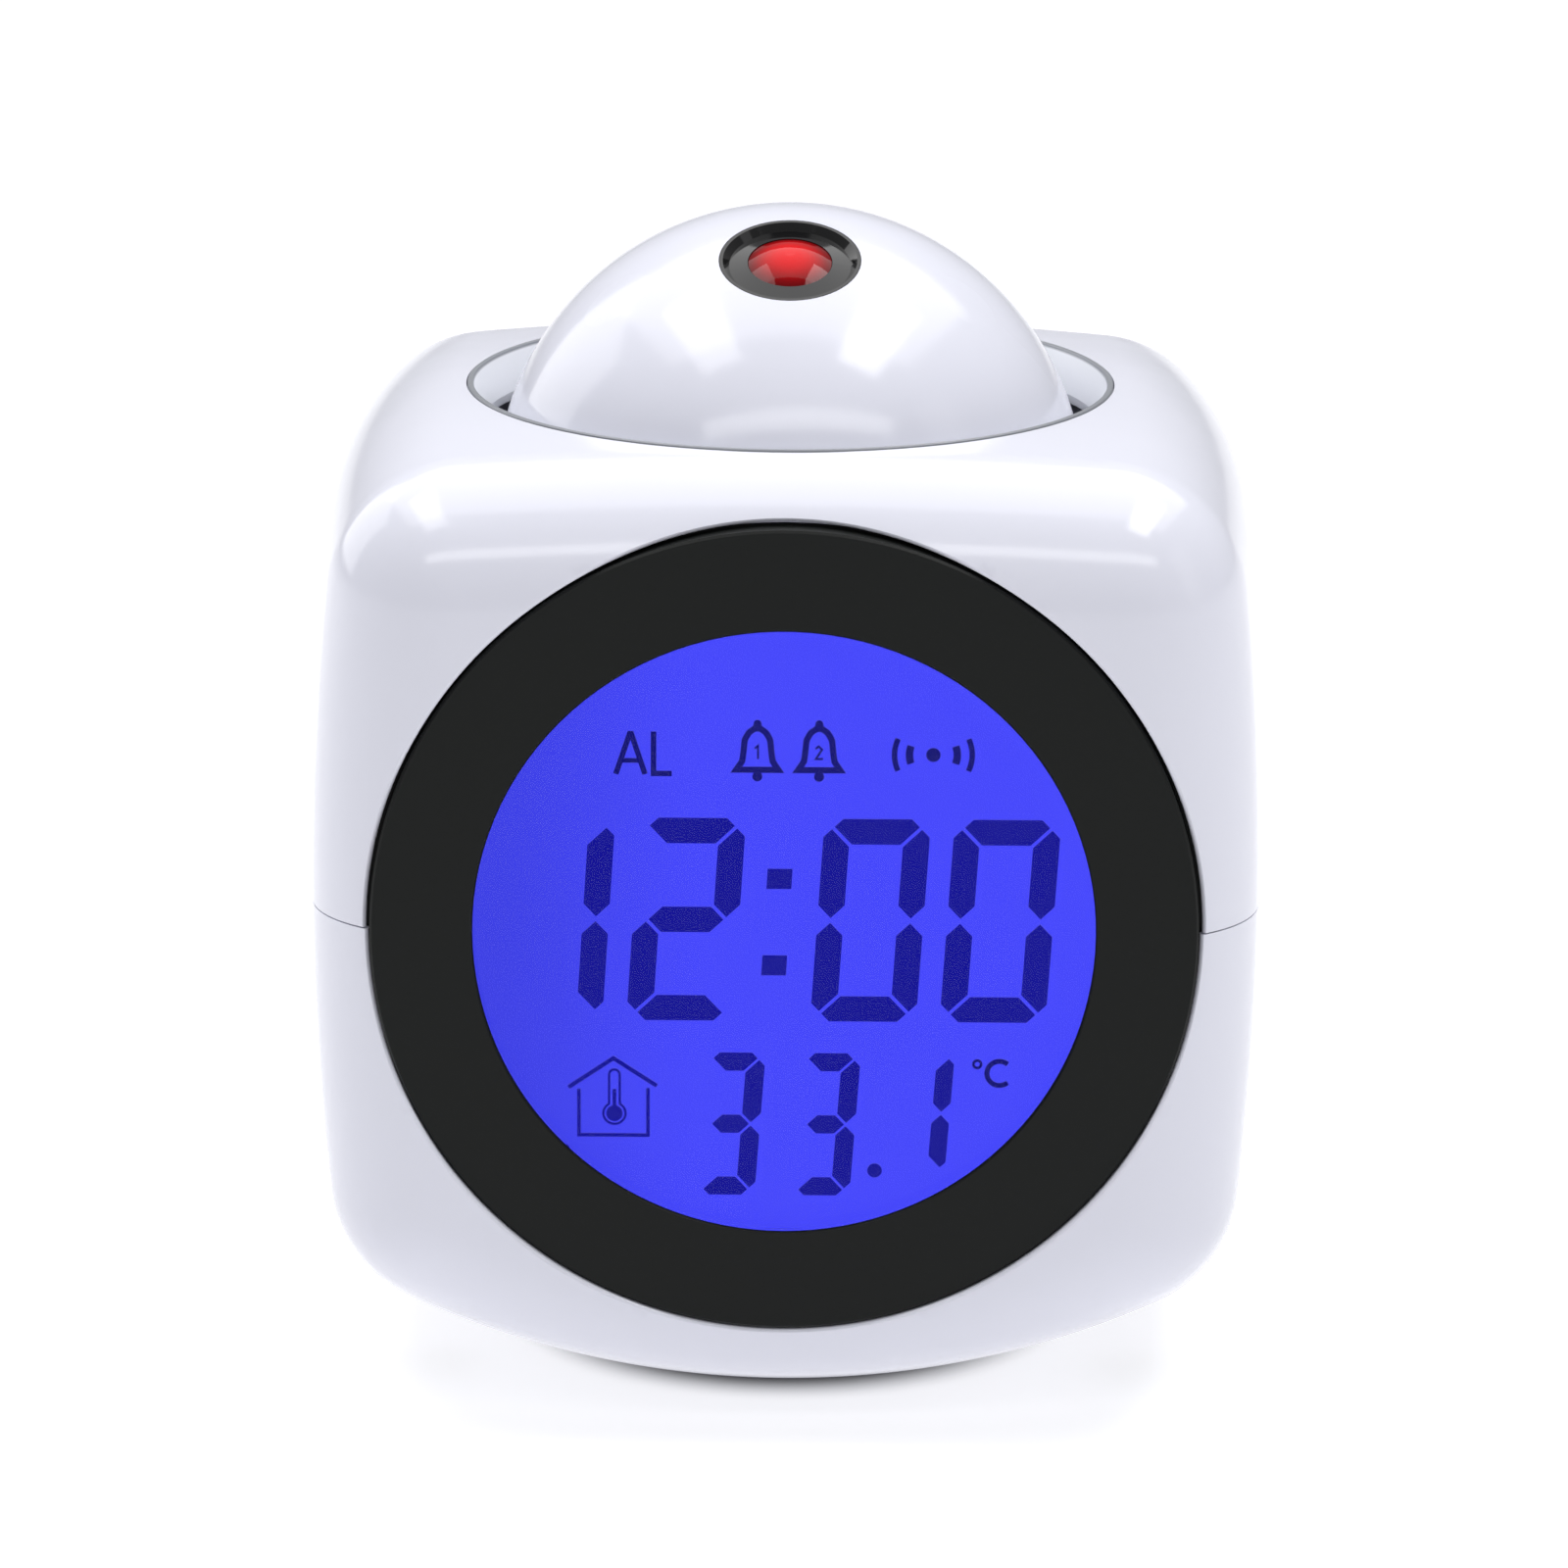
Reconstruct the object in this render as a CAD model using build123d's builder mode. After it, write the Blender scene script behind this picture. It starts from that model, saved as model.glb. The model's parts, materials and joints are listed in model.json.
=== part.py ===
"""Projection alarm clock: a domed cube with a round LCD and a projector ball on top.

Millimetres, +Z up, front towards -Y.  The origin is on the table, under the middle of the case.
The case is two shells that meet at the height of the display's centre.  The ball tilts on two
pins in a cradle, and the cradle slides down on two posts to press the snooze switch.
"""
import os
from math import cos, radians, sin, sqrt

from build123d import *

os.makedirs("parts", exist_ok=True)

# ---------------------------------------------------------------- driving sizes: the case
BODY_WIDTH = 84.0
BODY_DEPTH = 79.0          # before the display opening trims the crown of the front face
SEAM_HEIGHT = 45.8         # table to the joint between the shells
TOP_RISE = 40.9            # joint to the crown of the top face
BOTTOM_DROP = 47.9         # joint to where the domed bottom would end without its flat
SIDE_RADIUS = 255.0        # each of the six faces is part of a sphere
FRONT_RADIUS = 420.0
TOP_RADIUS = 340.0
BOTTOM_RADIUS = 80.3
EDGE_RADIUS = 12.0
WALL = 2.0
SEAM_GAP = 0.12            # the fine line that shows between the shells
LIP_DEPTH = 1.6            # the upper shell's lip, inside the lower shell
FIT = 0.1                  # clearance of pieces that stay put
SLIDE_FIT = 0.06           # clearance round pins and posts that move

# ---------------------------------------------------------------- driving sizes: the display
SIDE_MARGIN = 6.65         # case's side to the hole in the upper shell
OPENING_STEP = 0.2         # the lower shell's hole is this much tighter
BEZEL_GAP = 0.1
BEZEL_BAND = 8.7           # bezel's edge to the visible circle
BEZEL_FACE_DROP = 2.0      # crown of the front face to the bezel's flat face
BEZEL_THICK = 2.1
FLANGE_THICK = 0.8
FLANGE_REACH = 0.8         # flange beyond the bezel's edge
VIEW_LIP = 0.6             # bezel's lip over the window's flange
WINDOW_SINK = 0.1          # bezel's face to the window's face
WINDOW_THICK = 1.2
WINDOW_REACH = 2.0         # window's flange beyond the visible circle
LCD_MARGIN = 0.65          # LCD beyond the visible circle
LCD_THICK = 2.2
LCD_LEDGE = 4.0            # strip of contacts along the lower edge
GUIDE_THICK = 2.8
BOARD_THICK = 1.6
FRAME_WALL = 1.65
BEZEL_POST_INSET = 3.75    # bezel's edge to its posts, across
BEZEL_POST_Z = 12.0
BEZEL_POST_R = 1.9
CHIP_SPOT = (-10.0, -9.0)  # places on the board, from the display's middle
CRYSTAL_SPOT = (6.0, -18.0)
CAPACITOR_SPOT = (14.0, -8.0)
SENSOR_SPOT = (-24.0, -22.0)
SENSOR_LEG_PITCH = 1.2

# ---------------------------------------------------------------- driving sizes: the head
BALL_R = 26.0
BALL_SINK = 10.5           # ring's rim to the ball's centre
BALL_WALL = 1.6
BALL_SPLIT = 3.0           # the ball's two shells meet this far below its centre
LENS_TILT = 23.0           # degrees forward of straight up
MOUTH_R = 6.15             # hole for the projector in the ball
PIN_R = 2.2
CRADLE_GAP = 0.7
CRADLE_THICK = 2.9
CRADLE_WIDTH = 10.0
PRESS_TRAVEL = 1.5
RING_R = 28.3
RING_DEPTH = 4.3
RING_FLANGE = 3.1
RING_FLANGE_THICK = 1.5
RING_LIP_DEPTH = 2.8       # rim to the top of its flange
LEAD_SLOT = (9.0, 5.0)     # hole for the lead in the foot of the ball

# ---------------------------------------------------------------- driving sizes: inside
PLATE_DROP = 39.0          # ball's centre to the underside of the chassis plate
PLATE_THICK = 2.0
POST_INSET = 11.0          # case's side to the case screws
POST_Y = 16.0
POST_R = 3.2
WELL_R = 4.2
SCREW_R = 1.45
SCREW_HEAD_R = 2.7
SCREW_HEAD_H = 2.0
SCREW_SEAT = 2.5           # floor under each case screw's head
SCREW_BITE = 9.0
GUIDE_INSET = 9.0          # case's side to the cradle's guides
GUIDE_R = 2.0
GUIDE_SEAT_R = 3.9
SPRING_WIRE_R = 0.3
SPRING_LENGTH = 9.0
EAR_DROP = 19.0            # ball's centre to the underside of the cradle's ears
EAR_THICK = 3.0
CROSS_WIDTH = 0.6          # cross slots in the screw heads

# ---------------------------------------------------------------- driving sizes: base and back
FOOT_HEIGHT = 0.9
FOOT_R = 3.2
FOOT_CIRCLE_R = 17.5
SPEAKER_R = 14.0
SOUND_HOLE_R = 0.9
KEY_LENGTH = 9.0
KEY_WIDTH = 5.0
KEY_PITCH = 16.0
KEY_RISE = 17.2            # joint to the row of keys
KEY_PROUD = 0.65
KEY_TRAVEL = 0.45
CELL_R = 5.25
CELL_LENGTH = 43.5
CELL_NUB_R = 1.9
CELL_NUB_H = 1.0
CELL_PITCH = 10.75
BAY_DROP = 11.8            # joint to the middle of the battery bay
BAY_WALL = 1.5
BAY_RIM = 1.6
DOOR_THICK = 1.8
DOOR_CORNER_R = 3.0
DOOR_GAP = 0.2
SADDLE_X = 11.0            # ribs under the cells, either side of the middle
SADDLE_THICK = 2.0
TAB_X = 14.0               # the door's two tabs
TAB_WIDTH = 5.6
TAB_DROP = 0.9             # tabs below the door's edge
TAB_DEPTH = 1.6            # tabs in from the door's inner face
LATCH_WIDTH = 12.0
LATCH_LENGTH = 7.0
LATCH_SLOT = 0.8
GROOVE_PITCH = 1.6         # finger grooves across the latch
GROOVE_DEPTH = 0.3
CONTACT_THICK = 0.4
CONTACT_SIZE = 8.6
KEY_SCREW_R = 0.95
KEY_SWITCH_W = 6.0

# ---------------------------------------------------------------- worked-out places
half_w = BODY_WIDTH / 2
half_d = BODY_DEPTH / 2
seam = SEAM_HEIGHT


def face_drop(radius, *offsets):
    """How far a domed face has curved away at the given offsets from its crown."""
    return radius - sqrt(radius**2 - sum(value**2 for value in offsets))


opening_r = half_w - SIDE_MARGIN
ring_top = seam + TOP_RISE - face_drop(TOP_RADIUS, RING_R)
ball_z = ring_top - BALL_SINK
front_reach = half_d - face_drop(FRONT_RADIUS, opening_r)
back_crown = front_reach - KEY_PROUD
key_face_y = front_reach


def body_form(inset):
    """The case's outer form, shrunk by inset: six spheres that meet in rounded edges."""
    faces = (
        ((1, 0, 0), (0, 0, 1), half_w, SIDE_RADIUS),
        ((-1, 0, 0), (0, 0, 1), half_w, SIDE_RADIUS),
        ((0, -1, 0), (0, 0, 1), half_d, FRONT_RADIUS),
        ((0, 1, 0), (0, 0, 1), back_crown, FRONT_RADIUS),
        ((0, 0, 1), (0, 1, 0), TOP_RISE, TOP_RADIUS),
        ((0, 0, -1), (0, 1, 0), BOTTOM_DROP, BOTTOM_RADIUS),
    )
    with BuildPart() as form:
        for number, (outward, upward, crown, radius) in enumerate(faces):
            centre = Vector(0, 0, seam) + Vector(*outward) * (crown - radius)
            with Locations(Plane(origin=centre, x_dir=-Vector(*outward), z_dir=upward)):
                Sphere(radius - inset, mode=Mode.INTERSECT if number else Mode.ADD)
        fillet(form.edges(), radius=EDGE_RADIUS - inset)
    return form.part


outer_form = body_form(0)
inner_form = body_form(WALL)
lip_form = body_form(WALL / 2 + FIT)
rebate_form = body_form(WALL / 2)

base_flat = FOOT_HEIGHT
floor_top = base_flat + WALL
with BuildPart() as cavity:
    add(inner_form)
    split(bisect_by=Plane.XY.offset(floor_top), keep=Keep.TOP)


def front_plane(y):
    """A sketch plane at depth y that looks back from the front: X right, Y up, centred on the joint."""
    return Plane(origin=(0, y, seam), x_dir=(1, 0, 0), z_dir=(0, -1, 0))


# Depths of the display stack, from the front face inwards.
bezel_face = -half_d + BEZEL_FACE_DROP
bezel_back = bezel_face + BEZEL_THICK
flange_front = bezel_face + BEZEL_THICK + FIT
flange_back = flange_front + FLANGE_THICK
window_front = bezel_face + VIEW_LIP
lcd_front = flange_back + FIT
lcd_back = lcd_front + LCD_THICK
guide_back = lcd_back + FIT + GUIDE_THICK
board_front = guide_back + FIT
board_back = board_front + BOARD_THICK
bezel_r = opening_r - OPENING_STEP - BEZEL_GAP
flange_r = bezel_r + FLANGE_REACH
flange_top = opening_r - OPENING_STEP    # flat, where the case's edge curves away in front of it
view_r = bezel_r - BEZEL_BAND
lcd_half = view_r + LCD_MARGIN
bezel_post_x = bezel_r - BEZEL_POST_INSET
board_w = 2 * (bezel_post_x + 2.7)
board_h = 2 * lcd_half + 1
front_seat_r = flange_r + 2.2

# Depths of the row of keys, from the back face inwards.
key_row_z = seam + KEY_RISE
key_spots = [(number - 1.5) * KEY_PITCH for number in range(4)]
key_reach_x = 1.5 * KEY_PITCH + KEY_LENGTH / 2
key_seat_y = back_crown - WALL - face_drop(FRONT_RADIUS - WALL, key_reach_x, KEY_RISE + KEY_WIDTH / 2)
key_flange_thick = 1.1
switch_body_h = 3.5
switch_plunger_h = 0.8
switch_gap = KEY_TRAVEL + 0.05
key_back_y = key_seat_y - FIT - key_flange_thick
key_board_back = key_back_y - switch_gap - switch_plunger_h - switch_body_h
key_board_w = 2 * key_reach_x + 1
key_board_h = 10.0

# The battery bay, from the back face inwards.
bay_z = seam - BAY_DROP
bay_half_w = (CELL_LENGTH + CELL_NUB_H) / 2 + 2.55
bay_half_h = CELL_PITCH + CELL_R + 0.4
door_half_w = bay_half_w + 1.4
door_half_h = bay_half_h + 0.3
rim_half_w = door_half_w + BAY_RIM
rim_half_h = door_half_h + BAY_RIM
door_edge_y = back_crown - face_drop(FRONT_RADIUS, door_half_w, BAY_DROP + door_half_h)
door_inner = door_edge_y - DOOR_THICK
cell_y = door_inner - FIT - CELL_R
bay_floor = cell_y - CELL_R - 0.35
bay_seat_y = back_crown - WALL - face_drop(FRONT_RADIUS - WALL, rim_half_w, BAY_DROP + rim_half_h) - 0.9
bay_flange_thick = 1.3
bay_flange_reach = 2.0
cell_spots = [bay_z + CELL_PITCH * row for row in (1, 0, -1)]

# The cradle's vertical run and the chassis plate.
plate_z = ball_z - PLATE_DROP
plate_top = plate_z + PLATE_THICK
post_x = half_w - POST_INSET
guide_x = half_w - GUIDE_INSET
ear_z = ball_z - EAR_DROP
spring_seat_z = ear_z - SPRING_LENGTH
cradle_inner_r = BALL_R + CRADLE_GAP
cradle_outer_r = cradle_inner_r + CRADLE_THICK
ear_reach = guide_x + 3.4
post_spots = [(x, y) for x in (-post_x, post_x) for y in (-POST_Y, POST_Y)]
well_seat = plate_z - SCREW_SEAT
ring_flange_top = ring_top - RING_LIP_DEPTH
ring_flange_r = RING_R + RING_FLANGE
bay_plane = Plane(origin=(0, 0, bay_z), x_dir=(-1, 0, 0), z_dir=(0, 1, 0))
key_plane = Plane(origin=(0, 0, key_row_z), x_dir=(-1, 0, 0), z_dir=(0, 1, 0))

# ================================================================ the case
# The upper shell's lip, which reaches down inside the lower shell.
with BuildPart() as lip:
    add(lip_form)
    add(inner_form, mode=Mode.SUBTRACT)
    split(bisect_by=Plane.XY.offset(seam - LIP_DEPTH), keep=Keep.TOP)
    split(bisect_by=Plane.XY.offset(seam + SEAM_GAP), keep=Keep.BOTTOM)

# Upper shell: walls, lip, screw posts, seats for the ring, bezel, keys and battery box.
with BuildPart() as upper_case:
    add(outer_form)
    split(bisect_by=Plane.XY.offset(seam + SEAM_GAP / 2), keep=Keep.TOP)
    add(inner_form, mode=Mode.SUBTRACT)
    with BuildSketch(Plane.XY.offset(ring_flange_top)):
        Circle(ring_flange_r + 0.8)
    extrude(amount=TOP_RISE)
    with BuildSketch(front_plane(flange_front)):
        Circle(front_seat_r)
        with Locations((0, -front_seat_r)):
            Rectangle(2 * front_seat_r, 2 * front_seat_r - SEAM_GAP, mode=Mode.SUBTRACT)
    extrude(amount=WALL + BEZEL_FACE_DROP)
    with BuildSketch(key_plane.offset(key_seat_y)):
        RectangleRounded(2 * key_reach_x + 3, KEY_WIDTH + 7, 2)
    extrude(amount=WALL + KEY_PROUD + 1)
    with BuildSketch(bay_plane.offset(bay_seat_y)):
        RectangleRounded(2 * (rim_half_w + bay_flange_reach), 2 * (rim_half_h + bay_flange_reach), 4)
        with Locations((0, -rim_half_h + BAY_DROP + SEAM_GAP / 2)):
            Rectangle(2 * BODY_WIDTH, 2 * rim_half_h, mode=Mode.SUBTRACT)
    extrude(amount=WALL + 2)
    with BuildSketch(Plane.XY.offset(plate_top)):
        with Locations(*post_spots):
            Circle(POST_R)
    extrude(amount=TOP_RISE + seam - plate_top)
    # Nibs that stop the cradle's ears at the top of their travel.
    with BuildSketch(Plane.XY.offset(ear_z + EAR_THICK + FIT)):
        with Locations((ear_reach + 2, 0), (-ear_reach - 2, 0)):
            Rectangle(6, 5)
    extrude(amount=3)
    # Posts for the key board.
    with BuildSketch(key_plane.offset(key_board_back)):
        with Locations((KEY_PITCH, 0), (-KEY_PITCH, 0)):
            Circle(2.4)
    extrude(amount=back_crown - key_board_back)
    add(outer_form, mode=Mode.INTERSECT)
    add(lip.part)
    # Holes.
    with BuildSketch(Plane.XY.offset(ring_flange_top - RING_FLANGE_THICK)):
        Circle(RING_R + FIT)
    extrude(amount=TOP_RISE, mode=Mode.SUBTRACT)
    with BuildSketch(Plane.XY.offset(ring_flange_top)):
        Circle(ring_flange_r + FIT)
    extrude(amount=-2 * RING_FLANGE_THICK, mode=Mode.SUBTRACT)
    with BuildSketch(front_plane(flange_front + 6)):
        Circle(opening_r)
    extrude(amount=half_d, mode=Mode.SUBTRACT)
    with BuildSketch(front_plane(flange_front + 12)):
        Circle(flange_r + FIT)
        with Locations((0, flange_top + FIT + flange_r)):
            Rectangle(2 * flange_r, 2 * flange_r, mode=Mode.SUBTRACT)
    extrude(amount=12, mode=Mode.SUBTRACT)
    with BuildSketch(key_plane.offset(key_seat_y - 1)):
        with Locations(*[(x, 0) for x in key_spots]):
            SlotOverall(KEY_LENGTH + 2 * FIT, KEY_WIDTH + 2 * FIT)
    extrude(amount=half_d, mode=Mode.SUBTRACT)
    with BuildSketch(bay_plane.offset(bay_seat_y - 6)):
        RectangleRounded(2 * (rim_half_w + FIT), 2 * (rim_half_h + FIT), DOOR_CORNER_R + BAY_RIM + FIT)
    extrude(amount=half_d, mode=Mode.SUBTRACT)
    with BuildSketch(Plane.XY.offset(plate_top)):
        with Locations(*post_spots):
            Circle(SCREW_R + 0.05)
    extrude(amount=SCREW_BITE + 1, mode=Mode.SUBTRACT)
    with BuildSketch(key_plane.offset(key_board_back)):
        with Locations((KEY_PITCH, 0), (-KEY_PITCH, 0)):
            Circle(1.0)
    extrude(amount=5.5, mode=Mode.SUBTRACT)
upper_case.part.label = "upper_case"
export_step(upper_case.part, "parts/upper_case.step")


# The step inside the lower shell's edge that takes the lip.
with BuildPart() as rebate:
    add(rebate_form)
    split(bisect_by=Plane.XY.offset(seam - LIP_DEPTH - FIT), keep=Keep.TOP)

# Lower shell: walls, rebate, screw wells, seats for the bezel and battery box, speaker ring.
with BuildPart() as lower_case:
    add(outer_form)
    split(bisect_by=Plane.XY.offset(base_flat), keep=Keep.TOP)
    split(bisect_by=Plane.XY.offset(seam - SEAM_GAP / 2), keep=Keep.BOTTOM)
    add(cavity.part, mode=Mode.SUBTRACT)
    with BuildSketch(front_plane(flange_front)):
        Circle(front_seat_r)
        with Locations((0, front_seat_r)):
            Rectangle(2 * front_seat_r, 2 * front_seat_r + SEAM_GAP, mode=Mode.SUBTRACT)
    extrude(amount=WALL + BEZEL_FACE_DROP)
    with BuildSketch(bay_plane.offset(bay_seat_y)):
        RectangleRounded(2 * (rim_half_w + bay_flange_reach), 2 * (rim_half_h + bay_flange_reach), 4)
        with Locations((0, BAY_DROP - SEAM_GAP / 2 + rim_half_h)):
            Rectangle(2 * BODY_WIDTH, 2 * rim_half_h, mode=Mode.SUBTRACT)
    extrude(amount=WALL + 2)
    with BuildSketch():
        with Locations(*post_spots):
            Circle(WELL_R)
    extrude(amount=plate_z)
    with BuildSketch(Plane.XY.offset(floor_top)):
        Circle(SPEAKER_R + FIT + 1.2)
        Circle(SPEAKER_R + FIT, mode=Mode.SUBTRACT)
    extrude(amount=2.4)
    add(outer_form, mode=Mode.INTERSECT)
    split(bisect_by=Plane.XY.offset(base_flat), keep=Keep.TOP)
    add(rebate.part, mode=Mode.SUBTRACT)
    # Holes.
    with BuildSketch(front_plane(flange_front + 6)):
        Circle(opening_r - OPENING_STEP)
    extrude(amount=half_d, mode=Mode.SUBTRACT)
    with BuildSketch(front_plane(flange_front + 12)):
        Circle(flange_r + FIT)
    extrude(amount=12, mode=Mode.SUBTRACT)
    with BuildSketch(bay_plane.offset(bay_seat_y - 6)):
        RectangleRounded(2 * (rim_half_w + FIT), 2 * (rim_half_h + FIT), DOOR_CORNER_R + BAY_RIM + FIT)
    extrude(amount=half_d, mode=Mode.SUBTRACT)
    with BuildSketch():
        with Locations(*post_spots):
            Circle(SCREW_HEAD_R + 0.4)
    extrude(amount=well_seat, mode=Mode.SUBTRACT)
    with BuildSketch():
        with Locations(*post_spots):
            Circle(SCREW_R + 0.2)
    extrude(amount=plate_z + 1, mode=Mode.SUBTRACT)
    with BuildSketch():
        with PolarLocations(FOOT_CIRCLE_R, 4, start_angle=45):
            Circle(FOOT_R + FIT)
    extrude(amount=base_flat + WALL / 3, mode=Mode.SUBTRACT)
    with BuildSketch():
        Circle(SOUND_HOLE_R)
        with PolarLocations(SPEAKER_R * 0.3, 6):
            Circle(SOUND_HOLE_R)
        with PolarLocations(SPEAKER_R * 0.6, 12, start_angle=15):
            Circle(SOUND_HOLE_R)
    extrude(amount=floor_top + 1, mode=Mode.SUBTRACT)
lower_case.part.label = "lower_case"
export_step(lower_case.part, "parts/lower_case.step")

# Four rubber feet in their recesses.
with BuildPart() as feet:
    with BuildSketch():
        with PolarLocations(FOOT_CIRCLE_R, 4, start_angle=45):
            Circle(FOOT_R)
    extrude(amount=base_flat + WALL / 3)
    chamfer(feet.faces().sort_by(Axis.Z)[:4].edges(), length=FOOT_HEIGHT / 3)
feet.part.label = "feet"
export_step(feet.part, "parts/feet.step")

# Four self-tapping screws, up through the wells and the chassis into the posts.
with BuildPart() as case_screws:
    with BuildSketch(Plane.XY.offset(well_seat - SCREW_HEAD_H)):
        with Locations(*post_spots):
            Circle(SCREW_HEAD_R)
    extrude(amount=SCREW_HEAD_H)
    chamfer(case_screws.faces().sort_by(Axis.Z)[:4].edges(), length=SCREW_HEAD_H / 4)
    with BuildSketch(Plane.XY.offset(well_seat)):
        with Locations(*post_spots):
            Circle(SCREW_R)
    extrude(amount=plate_top - well_seat + SCREW_BITE)
    with BuildSketch(Plane.XY.offset(well_seat - SCREW_HEAD_H)):
        with Locations(*post_spots):
            Rectangle(SCREW_HEAD_R * 1.3, CROSS_WIDTH)
            Rectangle(CROSS_WIDTH, SCREW_HEAD_R * 1.3)
    extrude(amount=SCREW_HEAD_H / 2, mode=Mode.SUBTRACT)
case_screws.part.label = "case_screws"
export_step(case_screws.part, "parts/case_screws.step")

# Silver ring round the ball: a short funnel with a flange under the upper shell's seat.
with BuildPart() as dome_ring:
    with BuildSketch(Plane.XZ):
        with BuildLine():
            Polyline(
                (RING_R - 0.5, ring_top),
                (RING_R, ring_top),
                (RING_R, ring_flange_top),
                (ring_flange_r, ring_flange_top),
                (ring_flange_r, ring_flange_top - RING_FLANGE_THICK),
                (RING_R - 1.1, ring_top - RING_DEPTH),
                (RING_R - 1.3, ring_top - RING_DEPTH + 0.9),
                close=True,
            )
        make_face()
    revolve(axis=Axis.Z)
dome_ring.part.label = "dome_ring"
export_step(dome_ring.part, "parts/dome_ring.step")

# ================================================================ the display
# Black bezel: a flat ring with a flange behind the shells, cut flat at the top, and four screw posts.
bezel_post_spots = [(x, z) for x in (-bezel_post_x, bezel_post_x) for z in (-BEZEL_POST_Z, BEZEL_POST_Z)]
with BuildPart() as bezel:
    with BuildSketch(front_plane(bezel_back)):
        Circle(bezel_r)
    extrude(amount=BEZEL_THICK)
    with BuildSketch(front_plane(flange_back)):
        Circle(flange_r)
        Circle(bezel_r - 1.2, mode=Mode.SUBTRACT)
        with Locations((0, flange_top + flange_r)):
            Rectangle(2 * flange_r, 2 * flange_r, mode=Mode.SUBTRACT)
    extrude(amount=FLANGE_THICK)
    with BuildSketch(front_plane(flange_front)):
        Circle(bezel_r)
        Circle(bezel_r - 1.2, mode=Mode.SUBTRACT)
    extrude(amount=FIT)
    with BuildSketch(front_plane(board_front)):
        with Locations(*bezel_post_spots):
            Circle(BEZEL_POST_R)
    extrude(amount=board_front - flange_front)
    with BuildSketch(front_plane(bezel_back + 1)):
        Circle(view_r)
    extrude(amount=BEZEL_THICK + 2, mode=Mode.SUBTRACT)
    with BuildSketch(front_plane(bezel_back + 1)):
        Circle(view_r + WINDOW_REACH + FIT)
    extrude(amount=bezel_back + 1 - window_front, mode=Mode.SUBTRACT)
    with BuildSketch(front_plane(board_front)):
        with Locations(*bezel_post_spots):
            Circle(0.9)
    extrude(amount=5, mode=Mode.SUBTRACT)
    chamfer(bezel.edges().filter_by(GeomType.CIRCLE).sort_by(Axis.Y)[:2], length=0.2)
bezel.part.label = "bezel"
export_step(bezel.part, "parts/bezel.step")

# Clear window: a flange behind the bezel's lip and a raised middle that fills the hole.
with BuildPart() as display_window:
    with BuildSketch(front_plane(window_front + WINDOW_THICK)):
        Circle(view_r + WINDOW_REACH)
    extrude(amount=WINDOW_THICK)
    with BuildSketch(front_plane(window_front)):
        Circle(view_r - FIT / 2)
    extrude(amount=VIEW_LIP - WINDOW_SINK)
display_window.part.label = "display_window"
export_step(display_window.part, "parts/display_window.step")

# The LCD: two glass plates, the rear one shorter to leave a ledge of contacts.
with BuildPart() as lcd_panel:
    with BuildSketch(front_plane(lcd_front + LCD_THICK / 2)):
        Rectangle(2 * lcd_half, 2 * lcd_half)
    extrude(amount=LCD_THICK / 2)
    with BuildSketch(front_plane(lcd_back)):
        with Locations((0, LCD_LEDGE / 2)):
            Rectangle(2 * lcd_half, 2 * lcd_half - LCD_LEDGE)
    extrude(amount=LCD_THICK / 2)
lcd_panel.part.label = "lcd_panel"
export_step(lcd_panel.part, "parts/lcd_panel.step")

# Light guide behind the LCD, shorter at one side for the lamps.
lamp_room = 3.0
guide_height = 2 * lcd_half - LCD_LEDGE
with BuildPart() as light_guide:
    with BuildSketch(front_plane(guide_back)):
        with Locations((-lamp_room / 2, LCD_LEDGE / 2)):
            RectangleRounded(2 * lcd_half - lamp_room, guide_height, 0.8)
    extrude(amount=GUIDE_THICK)
light_guide.part.label = "light_guide"
export_step(light_guide.part, "parts/light_guide.step")

# Two lamps at the edge of the light guide, soldered to the main board.
with BuildPart() as backlight_lamps:
    with BuildSketch(front_plane(board_front)):
        with Locations((lcd_half - lamp_room / 2, 12), (lcd_half - lamp_room / 2, -8)):
            Rectangle(lamp_room - 0.4, 4)
    extrude(amount=GUIDE_THICK)
backlight_lamps.part.label = "backlight_lamps"
export_step(backlight_lamps.part, "parts/backlight_lamps.step")

# Frame that holds the LCD and the light guide against the bezel.
frame_half = lcd_half + FIT + FRAME_WALL
with BuildPart() as lcd_frame:
    with BuildSketch(front_plane(board_front)):
        RectangleRounded(2 * frame_half, 2 * frame_half, 1.5)
        Rectangle(2 * (lcd_half + FIT), 2 * (lcd_half + FIT), mode=Mode.SUBTRACT)
    extrude(amount=board_front - lcd_front)
lcd_frame.part.label = "lcd_frame"
export_step(lcd_frame.part, "parts/lcd_frame.step")

# Rubber contact strip from the LCD's ledge to the board.
with BuildPart() as contact_strip:
    with BuildSketch(front_plane(board_front)):
        with Locations((0, -lcd_half + LCD_LEDGE / 2)):
            Rectangle(2 * lcd_half - 4, LCD_LEDGE - 1.4)
    extrude(amount=board_front - lcd_front - LCD_THICK / 2)
contact_strip.part.label = "contact_strip"
export_step(contact_strip.part, "parts/contact_strip.step")

# Main board, screwed to the bezel's posts.
with BuildPart() as main_board:
    with BuildSketch(front_plane(board_back)):
        RectangleRounded(board_w, board_h, 5)
        with Locations(*bezel_post_spots):
            Circle(1.1, mode=Mode.SUBTRACT)
    extrude(amount=BOARD_THICK)
main_board.part.label = "main_board"
export_step(main_board.part, "parts/main_board.step")

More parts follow.
